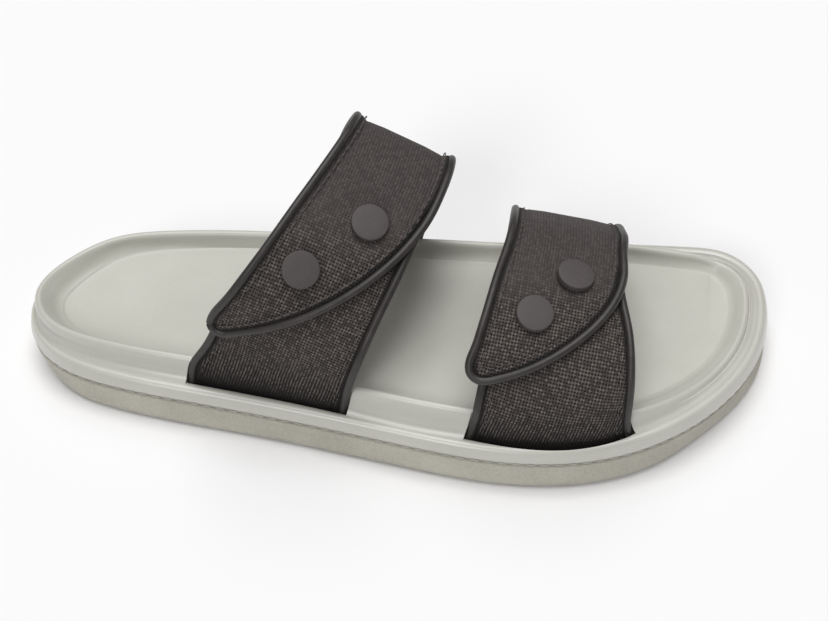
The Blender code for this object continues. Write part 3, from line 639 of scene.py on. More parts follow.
def make_midsole(material, cutters):
    """The soft welt that rolls up from the stitched seam to the valley round the footbed."""
    inner = VALLEY_INSET - LAYER_GAP
    bottom, top = MIDSOLE_BOTTOM, WELT_TOP
    rise = top - bottom
    channel = [
        (0.0030, bottom - 0.0003),
        (0.0011, bottom - 0.0003),
        (0.0010, bottom + 0.0008),
    ]
    roll = [
        (0.0010, bottom + 0.0008),
        (0.0003, bottom + 0.0011),
        (-0.0001, bottom + 0.0018),
        (-0.0002, bottom + 0.40 * rise),
        (0.0002, bottom + 0.58 * rise),
        (inner * 0.16, bottom + 0.78 * rise),
        (inner * 0.40, bottom + 0.95 * rise),
        (inner * 0.68, top),
        (inner, VALLEY_HEIGHT),
    ]
    shelf = [
        (VALLEY_INSET + 0.0008, VALLEY_HEIGHT - 0.0008),
        (VALLEY_INSET + 0.0022, PLATE_TOP),
    ]
    bm = bmesh.new()
    rings = sole_rings(channel) + smooth_rings(sole_rings(roll), 34)[1:] + sole_rings(shelf)
    grid(bm, *closed_rings(rings))
    close_holes(bm)
    piece = finish_piece("midsole_visual", bm, material, ["midsole"], 60)
    apply_cuts(piece, cutters)


def footbed_floor(plan, q, level):
    """The height of the footbed's floor: q runs from 0 on the middle line to 1 at the crease."""
    share = share_of_length(plan[:, 0])
    heel_cup = HEEL_CUP_DEPTH * (1 - smooth_step(share, 0.25, 0.50))
    ball_cup = 0.4 * HEEL_CUP_DEPTH * (smooth_step(share, 0.55, 0.75) - smooth_step(share, 0.78, 0.92))
    pad = 0.8 * HEEL_CUP_DEPTH * np.exp(-(((share - 0.56) / 0.07) ** 2))
    return level - (heel_cup + ball_cup - pad) * (1 - q**2)


def make_footbed(material, cutters):
    """The footbed: a steep flank, a rounded crest, a wall down to the crease, and a soft floor."""
    crest = RIM_HEIGHT
    foot = VALLEY_HEIGHT + 0.0003
    flank = crest - foot
    run = RIM_INSET - VALLEY_INSET
    r = RIM_RADIUS
    rim = [
        (VALLEY_INSET - 0.0014, foot - 0.0010),
        (VALLEY_INSET - 0.0002, foot - 0.0001),
        (VALLEY_INSET + 0.22 * run, foot + 0.10 * flank),
        (VALLEY_INSET + 0.52 * run, foot + 0.42 * flank),
        (RIM_INSET - 1.3 * r, crest - 1.3 * r),
        (RIM_INSET - 0.6 * r, crest - 0.3 * r),
        (RIM_INSET + 0.3 * r, crest),
        (RIM_INSET + 1.3 * r, crest - 0.5 * r),
        (RIM_INSET + np.maximum(0.45 * WALL_WIDTH, 2.0 * r), crest - 0.42 * WALL_DEPTH),
        (RIM_INSET + np.maximum(0.75 * WALL_WIDTH, 2.6 * r), crest - 0.82 * WALL_DEPTH),
        (RIM_INSET + WALL_WIDTH, crest - WALL_DEPTH),
    ]
    rim = sole_rings(rim)
    crease = rim[-1]
    half, tip = STATIONS, round(STATIONS * 3 / 28)
    pair = np.clip(np.arange(half + 1), tip, half - tip)
    bars = (crease[pair] + crease[(2 * half - pair) % (2 * half)]) / 2
    middle = np.vstack([bars, bars[1:-1][::-1]])
    rings = smooth_rings(rim, RIM_STEPS)
    floor_mark = [0.0] * RIM_STEPS
    inward = np.concatenate([[0.985, 0.965, 0.93], np.linspace(0.88, 0.0, 20)])
    for q in inward:
        plan = middle * (1 - q) + crease * q
        level = crease[:, 2] * q + middle[:, 2] * (1 - q)
        plan[:, 2] = footbed_floor(plan, q, level)
        rings.append(plan)
        floor_mark.append(float(smooth_step(1 - q, 0.0, 0.20)))
    under = [sole_ring(VALLEY_INSET + 0.0020, PLATE_TOP + LAYER_GAP)]
    places, uvs = closed_rings(under + rings)
    floor_mark = np.array([0.0] + floor_mark)
    down = np.concatenate([[0], np.linspace(0, 1, RIM_STEPS), np.ones(len(inward))])
    marks = {
        "floor": np.broadcast_to(floor_mark[:, None], places.shape[:2]),
        "rim": np.broadcast_to(down[:, None], places.shape[:2]),
    }
    bm = bmesh.new()
    grid(bm, places, uvs, marks)
    layer = bm.verts.layers.float["rim"]
    floor = [vertex for vertex in bm.verts if vertex[layer] > 0.999]
    soft = [vertex for vertex in bm.verts if vertex[layer] > 0.74 and vertex.co.x < place_on_length(0.45)]
    for group, turns in ((floor, FLOOR_SMOOTHING), (soft, HEEL_SMOOTHING)):
        for _ in range(turns):
            bmesh.ops.smooth_vert(bm, verts=group, factor=0.5, use_axis_z=True)
    close_holes(bm)
    piece = finish_piece("footbed_visual", bm, material, ["footbed"], 60)
    apply_cuts(piece, cutters)


def slot_cutter(strap, sheet, side, inset, outward, bulge):
    """The strap's end with its piping, grown by a clearance: it cuts the slot and the notch in the rim."""
    thick = PIPING_RADIUS + LAYER_GAP
    lift_low, lift_high = STRAP_THICKNESS / 2 - thick, STRAP_THICKNESS / 2 + thick + outward
    beyond = 2 * PIPING_SWELL * PIPING_RADIUS + 2 * LAYER_GAP
    s_end = 0.0 if side == 0 else 1.0
    reach = share_along(sheet, 0.02 if side == 0 else 0.98, 0.5, SLOT_DEPTH + SLOT_NOTCH_HEIGHT)
    rows = []
    for s in np.linspace(s_end, s_end + reach * (1 - 2 * side), 8):
        back = -share_across(sheet, s, beyond - inset[0])[0]
        front = 1 + share_across(sheet, s, beyond - inset[1])[0]
        t = np.linspace(back, front, 24)
        round_ends = bulge * np.sin(math.pi * np.linspace(0, 1, 24)) ** 0.6
        low, high = sheet(s, t, lift_low)[0], sheet(s, t, lift_high + round_ends)[0]
        rows.append(np.vstack([low, high[::-1], low[:1]]))
    bm = bmesh.new()
    grid(bm, np.array(rows))
    close_holes(bm)
    return finish_piece("slot_cutter", bm, None, None)


def dashes(bm, path, pitch, length, radius):
    """Short rounded threads along a path, sunk at both ends, one every pitch."""
    knots = np.concatenate([[0], np.cumsum(np.linalg.norm(np.diff(path, axis=0), axis=1))])

    def at(distance):
        return np.array([np.interp(distance, knots, path[:, axis]) for axis in range(3)])

    turn = np.linspace(0, 2 * math.pi, 7)[:, None]
    for start in np.arange(0.0, knots[-1] - length, pitch):
        rows = []
        for q in np.linspace(0, 1, 7):
            centre = at(start + q * length)
            ahead = at(start + q * length + 0.0003) - at(start + q * length - 0.0003)
            ahead /= np.linalg.norm(ahead)
            side = np.cross(ahead, (0.0, 0.0, 1.0))
            side /= np.linalg.norm(side)
            up = np.cross(side, ahead)
            thick = radius * math.sqrt(max(1 - abs(2 * q - 1) ** 4, 0.0))
            rows.append(centre + (side * np.cos(turn) + up * np.sin(turn)) * thick)
        grid(bm, np.array(rows), weld=1e-6)


def make_stitches(material):
    """The seam thread: one joined mesh of short rounded dashes in the channel round the sole."""
    ring = sole_ring(0.0006, MIDSOLE_BOTTOM + 0.0002)
    bm = bmesh.new()
    dashes(bm, np.vstack([ring, ring[:1]]), STITCH_PITCH, STITCH_LENGTH, STITCH_RADIUS)
    finish_piece("seam_stitches", bm, material, [])


def distance_to(places, edge):
    """The distance from each place to the nearest point of an edge."""
    flat = places.reshape(-1, 3)
    near = np.full(len(flat), 1.0)
    for start in range(0, len(edge), 200):
        gap = np.linalg.norm(flat[:, None, :] - edge[None, start : start + 200, :], axis=2)
        near = np.minimum(near, gap.min(axis=1))
    return near.reshape(places.shape[:2])


def dips(strap, sheet, places):
    """Soft hollows that the snaps pull into the cloth."""
    total = np.zeros(places.shape[:2])
    for snap_s, snap_t, _ in strap["snaps"].values():
        centre = sheet(snap_s, snap_t, 0.0)[0]
        gap = np.linalg.norm(places - centre, axis=2)
        total += SNAP_DIP * np.exp(-((gap / SNAP_DIP_RADIUS) ** 4))
    return total


def make_cloth(name, sheet, flat, s, t, under, edge, material, node, sag):
    """A padded cloth piece: two faces that meet in rounded edges, sewn down beside the piping."""
    inner = sheet(s, t, under)[0]
    gap = distance_to(inner, edge)
    radius = STRAP_THICKNESS / 2
    shoulder = np.sqrt(np.clip(1 - (1 - np.clip(gap / SHOULDER, 0, 1)) ** 2, 0, 1))
    round_off = np.sqrt(np.clip(1 - (1 - np.clip(gap / radius, 0, 1)) ** 2, 0, 1))
    channel = SEAM_DEPTH * np.exp(-(((gap - SEAM_INSET) / SEAM_WIDTH) ** 2))
    pillow = PILLOW_HEIGHT * (smooth_step(gap, SEAM_INSET, PILLOW_REACH) - 1)
    middle = under + radius
    outer_lift = middle + radius * shoulder + (pillow - channel) * shoulder - sag
    inner_lift = middle - radius * round_off
    outer, inner = sheet(s, t, outer_lift)[0], sheet(s, t, inner_lift)[0]
    uvs = flat(s, t)
    marks = {"edge": gap, "along": np.asarray(s, float)}
    bm = bmesh.new()
    grid(bm, outer, uvs, marks)
    grid(bm, inner, uvs, marks)
    bmesh.ops.remove_doubles(bm, verts=bm.verts, dist=2e-5)
    finish_piece(name, bm, material, [node], 70)


def edge_spread(count, radius_share):
    """Shares from 0 to 1 that lie closer together within radius_share of each end."""
    near = radius_share * (1 - np.cos(np.linspace(0, math.pi / 2, 7)))
    return np.concatenate([near, np.linspace(radius_share, 1 - radius_share, count)[1:-1], 1 - near[::-1]])


def make_tab(place, strap, sheet, flat, material):
    """The tab's cloth, between its cords, with its hidden front corner cut back."""
    s_line = np.linspace(0, strap["tab_end"], 110)
    back = share_across(sheet, s_line, strap["tab_inset"][0] - CLOTH_TUCK)
    front = share_across(sheet, s_line, strap["tab_inset"][1] - CLOTH_TUCK)
    merge = strap["flap_merge"]
    corner = share_across(sheet, s_line, TAB_CORNER)
    front = front + corner * smooth_step(s_line, merge - 0.10, merge - 0.02)
    q = edge_spread(50, 0.055)
    t = back[:, None] + (1 - front - back)[:, None] * q[None, :]
    s = np.broadcast_to(s_line[:, None], t.shape)
    fine = np.linspace(0, strap["tab_end"], 600)
    back = np.interp(fine, s_line, back)
    front = np.interp(fine, s_line, front)
    edge = np.vstack([sheet(fine, back, 0.0)[0], sheet(fine, 1 - front, 0.0)[0]])
    sag = TAB_SAG * smooth_step(s, strap["flap_merge"] - 0.10, strap["tab_end"])
    node = f"{place}_strap_tab"
    make_cloth(f"{place}_tab_cloth", sheet, flat, s, t, 0.0 * s, edge, material, node, sag)


def make_flap(place, strap, sheet, flat, material):
    """The flap's cloth, which sags between its cords at the crown and dips round the snaps."""
    beyond = float(share_across(sheet, 0.5, CLOTH_TUCK)[0])
    t_line = edge_spread(58, 0.055) * (1 + 2 * beyond) - beyond
    below = share_along(sheet, strap["flap_corner"], 0.0, CLOTH_TUCK)
    end = flap_end(strap, sheet, t_line) - below
    near = 0.025 * (1 - np.cos(np.linspace(0, math.pi / 2, 11)))
    q = np.concatenate([near, np.linspace(0.025, 1, 130)[1:]])
    s = end[None, :] + (1 - end)[None, :] * q[:, None]
    t = np.broadcast_to(t_line[None, :], s.shape)
    under = flap_lift(strap, s)
    t_fine = np.linspace(0, 1, 900) ** 1.6 * (1 + 2 * beyond) - beyond
    s_end = flap_end(strap, sheet, t_fine) - below
    edge = [sheet(s_end, t_fine, flap_lift(strap, s_end))[0]]
    for side, start in ((-beyond, s_end[0]), (1.0 + beyond, s_end[-1])):
        fine = np.linspace(start, 1, 600)
        edge.append(sheet(fine, side, flap_lift(strap, fine))[0])
    crown = np.exp(-(((s - 0.62) / 0.13) ** 2)) * (1 - (2 * np.clip(t, 0, 1) - 1) ** 16)
    sag = dips(strap, sheet, sheet(s, t, 0.0)[0]) + strap["crown_sag"] * crown
    node = f"{place}_strap_flap"
    edge = np.vstack(edge)
    make_cloth(f"{place}_flap_cloth", sheet, flat, s, t, under, edge, material, node, sag)


def seam_paths(strap, sheet):
    """The lines of sewing just inside the piping, on the cloth's outer face."""
    inset = SEAM_INSET - CLOTH_TUCK
    lift = STRAP_THICKNESS - 0.0003
    paths = []
    for side in (0, 1):
        stop = strap["flap_corner"] + 0.02 if side == 0 else strap["flap_merge"] - 0.02
        s = np.linspace(0.04, stop, 60)
        t = share_across(sheet, s, strap["tab_inset"][side] + inset)
        paths.append(sheet(s, t if side == 0 else 1 - t, lift)[0])
    along = share_along(sheet, strap["flap_corner"], 0.0, inset * 1.15)
    across = float(share_across(sheet, strap["flap_corner"], inset)[0])
    t = np.linspace(across, 1 - across, 90)
    s = flap_end(strap, sheet, t) + along * (1 + 1.1 * t**3)
    paths.append(sheet(s, t, flap_lift(strap, s) + lift)[0])
    for side, start in ((across, s[0]), (1 - across, s[-1])):
        line = np.linspace(start, 0.985, 110)
        paths.append(sheet(line, side, flap_lift(strap, line) + lift)[0])
    return paths


def make_sewing(name, strap, sheet, material):
    """The thread that holds the piping: short dashes along the sewn lines, as one mesh."""
    bm = bmesh.new()
    for path in seam_paths(strap, sheet):
        dashes(bm, path, SEWING_PITCH, SEWING_LENGTH, SEWING_RADIUS)
    finish_piece(name, bm, material, [])


def beside_edge(sheet, s, t, lift, outward_side):
    """A path that runs beside a strap's edge, a piping radius away from the cloth."""
    points, normals = sheet(s, t, lift + STRAP_THICKNESS / 2)
    ahead = np.gradient(points, axis=0)
    ahead /= np.linalg.norm(ahead, axis=1)[:, None]
    return points + np.cross(ahead, normals) * outward_side * (PIPING_RADIUS + LAYER_GAP)


def tab_piping_path(strap, sheet, edge):
    """Beside the tab's back edge (0) or front edge (1), up to where the flap covers it."""
    stop = strap["flap_corner"] + 0.06 if edge == 0 else strap["flap_merge"] - 0.045
    s = np.linspace(0, stop, 13 if edge == 0 else 17)
    inset = share_across(sheet, s, strap["tab_inset"][edge])
    return beside_edge(sheet, s, inset if edge == 0 else 1 - inset, 0.0, -1 if edge == 0 else 1)


def flap_piping_path(strap, sheet):
    """Down the flap's front edge, round its curved end and back up its back edge."""
    t_end = np.sin(np.linspace(math.pi / 2, 0, 12))
    t_end = np.concatenate([t_end[:-1], [0.05, 0.02, 0.0]])
    s_end = flap_end(strap, sheet, t_end)
    s_front = np.linspace(1, s_end[0], 18)[:-1]
    s_back = np.linspace(s_end[-1], 1, 22)[1:]
    s = np.concatenate([s_front, s_end, s_back])
    t = np.concatenate([np.ones(len(s_front)), t_end, np.zeros(len(s_back))])
    return beside_edge(sheet, s, t, flap_lift(strap, s), -1)


def make_piping(name, path, node, material):
    """A soft round cord with closed ends, on a smooth curve through its path."""
    knots, at = smooth_curve(path)
    length = knots[-1]
    count = max(24, int(length / 0.0011))
    places = np.linspace(0, length, count)
    cap = PIPING_RADIUS * (1 - np.cos(np.linspace(0, math.pi / 2, 6)[:-1]))
    places = np.concatenate([cap, places[(places > PIPING_RADIUS) & (places < length - PIPING_RADIUS)]])
    places = np.concatenate([places, length - cap[::-1]])
    centre = at(places)
    ahead = at(np.minimum(places + 2e-4, length)) - at(np.maximum(places - 2e-4, 0))
    ahead /= np.linalg.norm(ahead, axis=1)[:, None]
    side = np.cross(ahead, (0.0, 0.0, 1.0))
    side /= np.linalg.norm(side, axis=1)[:, None]
    up = np.cross(side, ahead)
    end = np.minimum(places, length - places) / PIPING_RADIUS
    radius = PIPING_SWELL * PIPING_RADIUS * np.sqrt(np.clip(1 - (1 - np.clip(end, 0, 1)) ** 2, 0, 1))
    turn = np.linspace(0, 2 * math.pi, 17)[None, :, None]
    ring = side[:, None, :] * np.cos(turn) + up[:, None, :] * np.sin(turn)
    tube = centre[:, None, :] + radius[:, None, None] * ring
    around = np.broadcast_to(turn[:, :, 0] * PIPING_RADIUS, tube.shape[:2])
    uvs = np.stack([around, np.broadcast_to(places[:, None], tube.shape[:2])], axis=2)
    bm = bmesh.new()
    grid(bm, tube, uvs)
    finish_piece(name, bm, material, [node], 80)


def snap_place(sheet, s, t, lift, lean=0.0):
    """A frame on the strap with its Z along the cloth's normal, tipped towards the toe by lean."""
    point, normal = sheet(s, t, lift)
    axis = Vector(normal[0]) + lean * Vector(LEAN_DIRECTION)
    turn = axis.to_track_quat("Z", "Y").to_matrix().to_4x4()
    return Matrix.Translation(Vector(point[0])) @ turn


def turned(name, profile, place, material, node):
    """A piece turned from a profile of (radius, height) rows about the axis of place."""
    bm = bmesh.new()
    line = [bm.verts.new((radius, 0.0, height)) for radius, height in profile]
    edges = [bm.edges.new(pair) for pair in zip(line, line[1:])]
    turn = {"cent": (0, 0, 0), "axis": (0, 0, 1), "angle": 2 * math.pi, "steps": 56}
    bmesh.ops.spin(bm, geom=line + edges, use_merge=True, **turn)
    bmesh.ops.remove_doubles(bm, verts=bm.verts, dist=1e-6)
    bm.transform(place)
    finish_piece(name, bm, material, [node], 50)


def rounded(corners, radius, steps=4):
    """A profile with its inner corners rounded off."""
    out = [corners[0]]
    for before, corner, after in zip(corners, corners[1:], corners[2:]):
        before, corner, after = (np.array(v, float) for v in (before, corner, after))
        back, ahead = before - corner, after - corner
        size = min(radius, np.linalg.norm(back) * 0.45, np.linalg.norm(ahead) * 0.45)
        start = corner + back / np.linalg.norm(back) * size
        stop = corner + ahead / np.linalg.norm(ahead) * size
        for q in np.linspace(0, 1, steps + 1):
            out.append(tuple(start * (1 - q) ** 2 + 2 * corner * q * (1 - q) + stop * q**2))
    return out + [corners[-1]]


def make_snap(name, strap, sheet, s, t, lean, material):
    """The cap on the flap and the stud inside the tab, each turned about the snap's axis."""
    under = float(flap_lift(strap, np.array([s]))[0])
    top = snap_place(sheet, s, t, under + STRAP_THICKNESS, lean)
    foot, high, r = -0.0006, SNAP_HEIGHT + SNAP_CLEARANCE, SNAP_RADIUS
    cap = [(0.0, -0.0026), (0.0020, -0.0026), (0.0020, foot), (r * 0.94, foot), (r, foot + 0.0004)]
    cap += [(r, high - 0.0001), (r * 0.5, high + 0.0001), (0.0, high + 0.00015)]
    turned(f"snap_cap_{name}_visual", rounded(cap, 0.00045), top, material, f"snap_cap_{name}")
    bottom = snap_place(sheet, s, t, 0.0)
    stud = [(0.0, -0.0014), (0.0034, -0.0013), (0.0040, -0.0007), (0.0040, -0.0002)]
    stud += [(0.0020, -0.0001), (0.0020, 0.0026), (0.0, 0.0026)]
    turned(f"snap_stud_{name}_visual", rounded(stud, 0.0003), bottom, material, f"snap_stud_{name}")


class Shader:
    """Adds nodes to a tree and joins them."""

    def __init__(self, tree):
        self.tree = tree

    def join(self, socket, value):
        if isinstance(value, bpy.types.NodeSocket):
            self.tree.links.new(value, socket)
        else:
            socket.default_value = value

    def add(self, kind, inputs=None, **settings):
        made = self.tree.nodes.new(kind)
        for name, value in settings.items():
            setattr(made, name, value)
        for name, value in (inputs or {}).items():
            self.join(made.inputs[name], value)
        return made

    def math(self, operation, *values):
        made = self.add("ShaderNodeMath", operation=operation)
        for socket, value in zip(made.inputs, values):
            self.join(socket, value)
        return made.outputs[0]

    def times(self, first, second):
        return self.math("MULTIPLY", first, second)

    def plus(self, first, second):
        return self.math("ADD", first, second)

    def less(self, first, second):
        return self.math("SUBTRACT", first, second)

    def fade(self, value, low, high, start=0.0, end=1.0):
        inputs = {"Value": value, "From Min": low, "From Max": high, "To Min": start, "To Max": end}
        return self.add("ShaderNodeMapRange", inputs, interpolation_type="SMOOTHSTEP").outputs[0]

    def mark(self, name):
        return self.add("ShaderNodeAttribute", attribute_name=name).outputs["Fac"]

    def place(self):
        return self.add("ShaderNodeTexCoord").outputs["Object"]

    def metres(self):
        return self.add("ShaderNodeUVMap", uv_map="metres").outputs[0]

    def noise(self, vector, scale, detail=2.0, roughness=0.5):
        inputs = {"Vector": vector, "Scale": scale, "Detail": detail, "Roughness": roughness}
        return self.add("ShaderNodeTexNoise", inputs).outputs[0]

    def mix(self, factor, first, second):
        made = self.add("ShaderNodeMix", data_type="RGBA")
        self.join(made.inputs[0], factor)
        self.join(made.inputs[6], first)
        self.join(made.inputs[7], second)
        return made.outputs[2]

    def bump(self, height, distance, strength):
        inputs = {"Height": height, "Distance": distance, "Strength": strength}
        return self.add("ShaderNodeBump", inputs).outputs[0]

    def vector_math(self, operation, first, second):
        return self.add("ShaderNodeVectorMath", {0: first, 1: second}, operation=operation).outputs[0]


def material_with(name, roughness):
    """A named material, its tree and its Principled shader."""
    material = bpy.data.materials.new(name)
    material.use_nodes = True
    tree = material.node_tree
    shader = tree.nodes["Principled BSDF"]
    shader.inputs["Roughness"].default_value = roughness
    return material, Shader(tree), shader


def foam_material():
    """Silky moulded foam: a fine skin, faint lines across the floor, and a streaked gloss on the rim."""
    material, n, shader = material_with("silky_foam", 0.42)
    where = n.place()
    metres = n.metres()
    floor = n.mark("floor")
    split = n.add("ShaderNodeSeparateXYZ", {"Vector": where})
    x, y = split.outputs[0], split.outputs[1]
    diagonal = n.plus(n.times(x, 0.62), n.times(y, 0.78))
    other = n.less(n.times(x, 0.78), n.times(y, 0.62))
    wobble = n.times(n.noise(where, 90.0, 2.0), 0.0012)
    lines = n.math("SINE", n.times(n.plus(diagonal, wobble), 2 * math.pi / 0.0011))
    cross = n.math("SINE", n.times(other, 2 * math.pi / 0.0014))
    pattern = n.plus(n.times(lines, 0.30), n.times(cross, 0.10))
    pattern = n.times(pattern, floor)
    grain = n.noise(where, 1500.0, 3.0, 0.6)
    soft = n.noise(where, 26.0, 3.0, 0.55)
    streaks = n.noise(n.vector_math("MULTIPLY", metres, (900.0, 160.0, 1.0)), 1.0, 3.0, 0.6)
    down = n.mark("rim")
    silky = n.fade(down, 0.45, 0.75, 1.0, 0.0)
    streaks = n.times(streaks, silky)
    n.join(shader.inputs["Coat Weight"], n.times(silky, 0.85))
    shader.inputs["Coat Roughness"].default_value = 0.27
    height = n.plus(n.times(grain, 0.45), n.times(pattern, 0.25))
    height = n.plus(height, n.times(streaks, 0.16))
    tint = n.plus(n.times(soft, 0.55), n.times(grain, 0.25))
    tint = n.plus(tint, n.times(pattern, 0.18))
    colour = n.mix(n.fade(tint, 0.15, 0.75), (0.480, 0.473, 0.422, 1.0), (0.585, 0.578, 0.524, 1.0))
    n.join(shader.inputs["Base Color"], colour)
    rough = n.fade(n.plus(soft, n.times(floor, 0.45)), 0.3, 1.1, 0.34, 0.56)
    n.join(shader.inputs["Roughness"], rough)
    n.join(shader.inputs["Normal"], n.bump(height, 0.00012, 0.55))
    return material


def grained_material(name, roughness, tint, colours, grain, relief):
    """One noise tints the surface between two colours, and another gives it a fine relief."""
    material, n, shader = material_with(name, roughness)
    where = n.place()
    n.join(shader.inputs["Base Color"], n.mix(n.fade(n.noise(where, *tint), 0.3, 0.7), *colours))
    n.join(shader.inputs["Normal"], n.bump(n.noise(where, *grain), *relief))
    return material


def piping_material():
    """Soft rubbery piping with a broad, gentle gloss."""
    colours = (0.022, 0.018, 0.017, 1.0), (0.034, 0.029, 0.027, 1.0)
    tint, grain = (160.0, 3.0, 0.6), (900.0, 2.0, 0.6)
    return grained_material("soft_piping", 0.46, tint, colours, grain, (0.00008, 0.5))


def snap_material():
    """Matt snap plastic with a very fine grain."""
    colours = (0.056, 0.047, 0.046, 1.0), (0.072, 0.061, 0.059, 1.0)
    grain = (2200.0, 3.0, 0.6)
    return grained_material("snap_plastic", 0.62, grain, colours, grain, (0.00006, 0.6))


def rubber_material():
    """Matt outsole: a stippled skin, a little darker than the foam above it."""
    material, n, shader = material_with("matt_rubber", 0.78)
    where = n.place()
    stipple = n.noise(where, 1250.0, 3.0, 0.65)
    soft = n.noise(where, 45.0, 3.0, 0.5)
    tint = n.plus(n.times(stipple, 0.6), n.times(soft, 0.5))
    colour = n.mix(n.fade(tint, 0.30, 0.80), (0.400, 0.384, 0.326, 1.0), (0.545, 0.527, 0.456, 1.0))
    n.join(shader.inputs["Base Color"], colour)
    n.join(shader.inputs["Normal"], n.bump(stipple, 0.00022, 0.7))
    return material


def weave_group():
    """The open mesh, from the flat cloth's metres: height, holes that are painted with shade, threads'
    light and dark, and painted glints where the threads cross.
    """
    tree = bpy.data.node_groups.new("open_mesh", "ShaderNodeTree")
    for name, value in (("Opening", 0.30), ("Ribbed", 0.0)):
        socket = tree.interface.new_socket(name, in_out="INPUT", socket_type="NodeSocketFloat")
        socket.default_value = value
    for name in ("Height", "Holes", "Threads", "Glints"):
        tree.interface.new_socket(name, in_out="OUTPUT", socket_type="NodeSocketFloat")
    n = Shader(tree)
    given, result = n.add("NodeGroupInput"), n.add("NodeGroupOutput")
    opening, ribbed = given.outputs["Opening"], given.outputs["Ribbed"]
    metres = n.metres()
    split = n.add("ShaderNodeSeparateXYZ", {"Vector": metres})
    places = []
    for axis, seed in ((0, 0.0), (1, 0.37)):
        moved = n.vector_math("ADD", metres, (seed, seed, 0.0))
        small_drift = n.times(n.noise(moved, 420.0, 1.0), 0.35)
        drift = n.plus(n.noise(moved, 60.0, 1.0), small_drift)
        place = n.math("DIVIDE", split.outputs[axis], WEAVE_PITCH)
        places.append(n.plus(place, drift))
    u, v = places
    near = [n.math("ABSOLUTE", n.less(p, n.math("ROUND", p))) for p in (u, v)]
    square = [n.math("POWER", p, 3.0) for p in near]
    wide = n.math("POWER", n.plus(square[0], square[1]), 1 / 3)
    slit = near[0]
    holed = n.times(wide, n.less(1.0, ribbed))
    shape = n.plus(holed, n.times(slit, ribbed))
    ragged = n.times(n.less(n.noise(metres, 1900.0, 2.0), 0.5), 0.22)
    shape = n.plus(shape, ragged)
    # Painted shade: where the mesh is open, the cloth is painted near black for the shade seen through its
    # holes.
    holes = n.fade(n.less(shape, opening), -0.045, 0.045, 1.0, 0.0)
    over = n.math("SINE", n.times(u, math.pi))
    over = n.times(over, n.math("SINE", n.times(v, math.pi)))
    round_warp = n.fade(near[0], 0.16, 0.5)
    round_weft = n.fade(near[1], 0.16, 0.5)
    warp = n.times(round_warp, n.plus(0.80, n.times(over, 0.20)))
    weft = n.times(round_weft, n.less(0.80, n.times(over, 0.20)))
    weft = n.times(weft, n.less(1.0, n.times(ribbed, 0.45)))
    height = n.math("MAXIMUM", warp, weft)
    cell = n.add("ShaderNodeCombineXYZ", {"X": n.math("FLOOR", u), "Y": n.math("FLOOR", v)})
    inputs = {"Vector": cell.outputs[0]}
    spread = n.add("ShaderNodeTexWhiteNoise", inputs, noise_dimensions="2D").outputs[0]
    fibre = n.noise(metres, 5200.0, 2.0, 0.7)
    threads = n.plus(n.times(spread, 0.35), n.times(fibre, 0.65))
    # Painted highlight: bright specks at random thread crossings stand in for glints on the thread.
    crossing = n.times(n.fade(near[0], 0.28, 0.44), n.fade(near[1], 0.28, 0.44))
    knots = n.times(crossing, n.fade(spread, 0.25, 1.0))
    for name, value in (("Height", height), ("Holes", holes), ("Threads", threads), ("Glints", knots)):
        n.join(result.inputs[name], value)
    return tree


def cloth_material(weave):
    """Dark open mesh cloth that turns to fine ribs where it bends, sunk beside the piping, with painted
    shade in its holes, in the groove beside the piping and near the lateral slot, and painted glints where
    its threads cross.
    """
    material, n, shader = material_with("woven_cloth", 0.80)
    edge = n.mark("edge")
    along = n.mark("along")
    ribbed = n.math("MAXIMUM", n.fade(along, 0.05, 0.17, 0.75, 0.0), n.fade(along, 0.34, 0.50, 0.0, 0.65))
    # Painted shade in the sunken groove beside the piping; the same mask also opens the holes there.
    groove_shade = n.fade(edge, 0.0011, 0.0021, 1.0, 0.0)
    sewn = n.less(edge, SEAM_INSET)
    sewn = n.fade(n.math("ABSOLUTE", sewn), 0.0002, 0.0007, 1.0, 0.0)
    crown = n.fade(along, 0.30, 0.46)
    pinched = n.times(n.math("MAXIMUM", sewn, groove_shade), 0.08)
    opening = n.plus(n.fade(crown, 0.0, 1.0, 0.27, 0.22), pinched)
    group = n.add("ShaderNodeGroup")
    group.node_tree = weave
    n.join(group.inputs["Opening"], opening)
    n.join(group.inputs["Ribbed"], ribbed)
    light = n.fade(group.outputs["Threads"], 0.25, 0.75)
    dark = n.mix(crown, (0.046, 0.038, 0.035, 1.0), (0.060, 0.050, 0.048, 1.0))
    colour = n.mix(light, dark, n.mix(crown, (0.112, 0.095, 0.088, 1.0), (0.090, 0.076, 0.073, 1.0)))
    # Painted highlight: the glints at the thread crossings, fewer towards the crown.
    knots = n.times(group.outputs["Glints"], n.fade(crown, 0.0, 1.0, 1.0, 0.15))
    colour = n.mix(knots, colour, (0.230, 0.205, 0.165, 1.0))
    # Painted shade in the mesh's holes, weaker at the crown.
    holes = n.times(group.outputs["Holes"], n.fade(crown, 0.0, 1.0, 1.0, 0.40))
    colour = n.mix(holes, colour, (0.003, 0.0025, 0.0025, 1.0))
    colour = n.mix(n.times(groove_shade, 0.85), colour, (0.006, 0.005, 0.005, 1.0))
    # Painted shade where the tab runs down into its lateral slot.
    colour = n.mix(n.fade(along, 0.010, 0.070, 1.0, 0.0), colour, (0.005, 0.004, 0.004, 1.0))
    n.join(shader.inputs["Base Color"], colour)
    n.join(shader.inputs["Normal"], n.bump(group.outputs["Height"], 0.00030, 0.8))
    shader.inputs["Specular IOR Level"].default_value = 0.30
    return material


def thread_material():
    """The dark sewing thread on the straps."""
    material, n, shader = material_with("sewing_thread", 0.70)
    where = n.place()
    colour = n.mix(n.noise(where, 1400.0, 2.0), (0.045, 0.039, 0.037, 1.0), (0.120, 0.106, 0.098, 1.0))
    n.join(shader.inputs["Base Color"], colour)
    return material


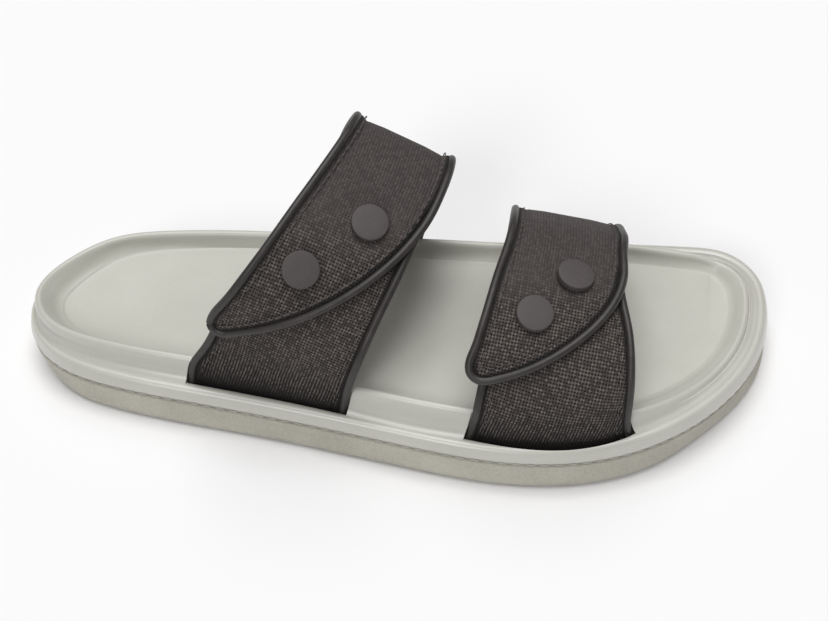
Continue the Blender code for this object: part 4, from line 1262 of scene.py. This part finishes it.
def make_stage():
    """A plain pale floor, three wide soft lights, and an even surround."""
    bm = bmesh.new()
    bmesh.ops.create_grid(bm, x_segments=1, y_segments=1, size=4.0)
    mesh = bpy.data.meshes.new("floor")
    bm.to_mesh(mesh)
    bm.free()
    floor = bpy.data.objects.new("floor", mesh)
    link(floor)
    material, n, shader = material_with("pale_floor", 1.0)
    shader.inputs["Base Color"].default_value = FLOOR_COLOUR
    shader.inputs["Specular IOR Level"].default_value = 0.0
    mesh.materials.append(material)
    world = bpy.data.worlds.new("surround")
    world.use_nodes = True
    background = world.node_tree.nodes["Background"]
    background.inputs[0].default_value = (1.0, 1.0, 1.0, 1.0)
    background.inputs[1].default_value = SURROUND
    bpy.context.scene.world = world
    for name, (energy, width, *direction) in LIGHTS.items():
        light = bpy.data.lights.new(name, "SUN")
        light.energy = energy
        light.angle = math.radians(width)
        lamp = bpy.data.objects.new(name, light)
        lamp.rotation_euler = Vector(direction).to_track_quat("Z", "Y").to_euler()
        link(lamp)


def make_camera():
    """The photo's view."""
    data = bpy.data.cameras.new("camera")
    data.sensor_width = 36.0
    data.lens = CAMERA_LENS
    data.shift_x, data.shift_y = CAMERA_SHIFT
    camera = bpy.data.objects.new("camera", data)
    camera.location = CAMERA_PLACE
    camera.rotation_mode = "QUATERNION"
    ahead = Vector(CAMERA_TARGET) - Vector(CAMERA_PLACE)
    camera.rotation_quaternion = ahead.to_track_quat("-Z", "Y")
    link(camera)
    bpy.context.scene.camera = camera


foam = foam_material()
rubber = rubber_material()
cloth = cloth_material(weave_group())
cord = piping_material()
thread = thread_material()
plastic = snap_material()

sheets = {place: strap_sheet(strap) for place, strap in STRAPS.items()}
slots, notches = [], []
for place, strap in STRAPS.items():
    for side in (0, 1):
        inset = strap["tab_inset"] if side == 0 else (0.0, 0.0)
        bulge = strap["slot_bulge"] * (1 - side)
        slots.append(slot_cutter(strap, sheets[place], side, inset, 0.0, bulge))
        notches.append(slot_cutter(strap, sheets[place], side, inset, NOTCH_OUTWARD, bulge))
make_outsole(rubber)
make_midsole(foam, slots)
make_footbed(foam, notches)
for cutter in slots + notches:
    bpy.data.objects.remove(cutter)
make_stitches(foam)
for place, strap in STRAPS.items():
    sheet = sheets[place]
    flat = flat_pattern(sheet, strap["weave_turn"])
    make_tab(place, strap, sheet, flat, cloth)
    make_flap(place, strap, sheet, flat, cloth)
    make_sewing(f"{place}_sewing", strap, sheet, thread)
    flap_cord = flap_piping_path(strap, sheet)
    make_piping(f"{place}_flap_cord", flap_cord, f"{place}_flap_piping", cord)
    for edge, word in ((0, "back"), (1, "front")):
        path = tab_piping_path(strap, sheet, edge)
        make_piping(f"{place}_tab_cord_{word}", path, f"{place}_tab_piping_{word}", cord)
    for level, (s, t, lean) in strap["snaps"].items():
        make_snap(f"{place}_{level}", strap, sheet, s, t, lean, plastic)

make_stage()
make_camera()
bpy.context.scene.view_settings.view_transform = "Standard"
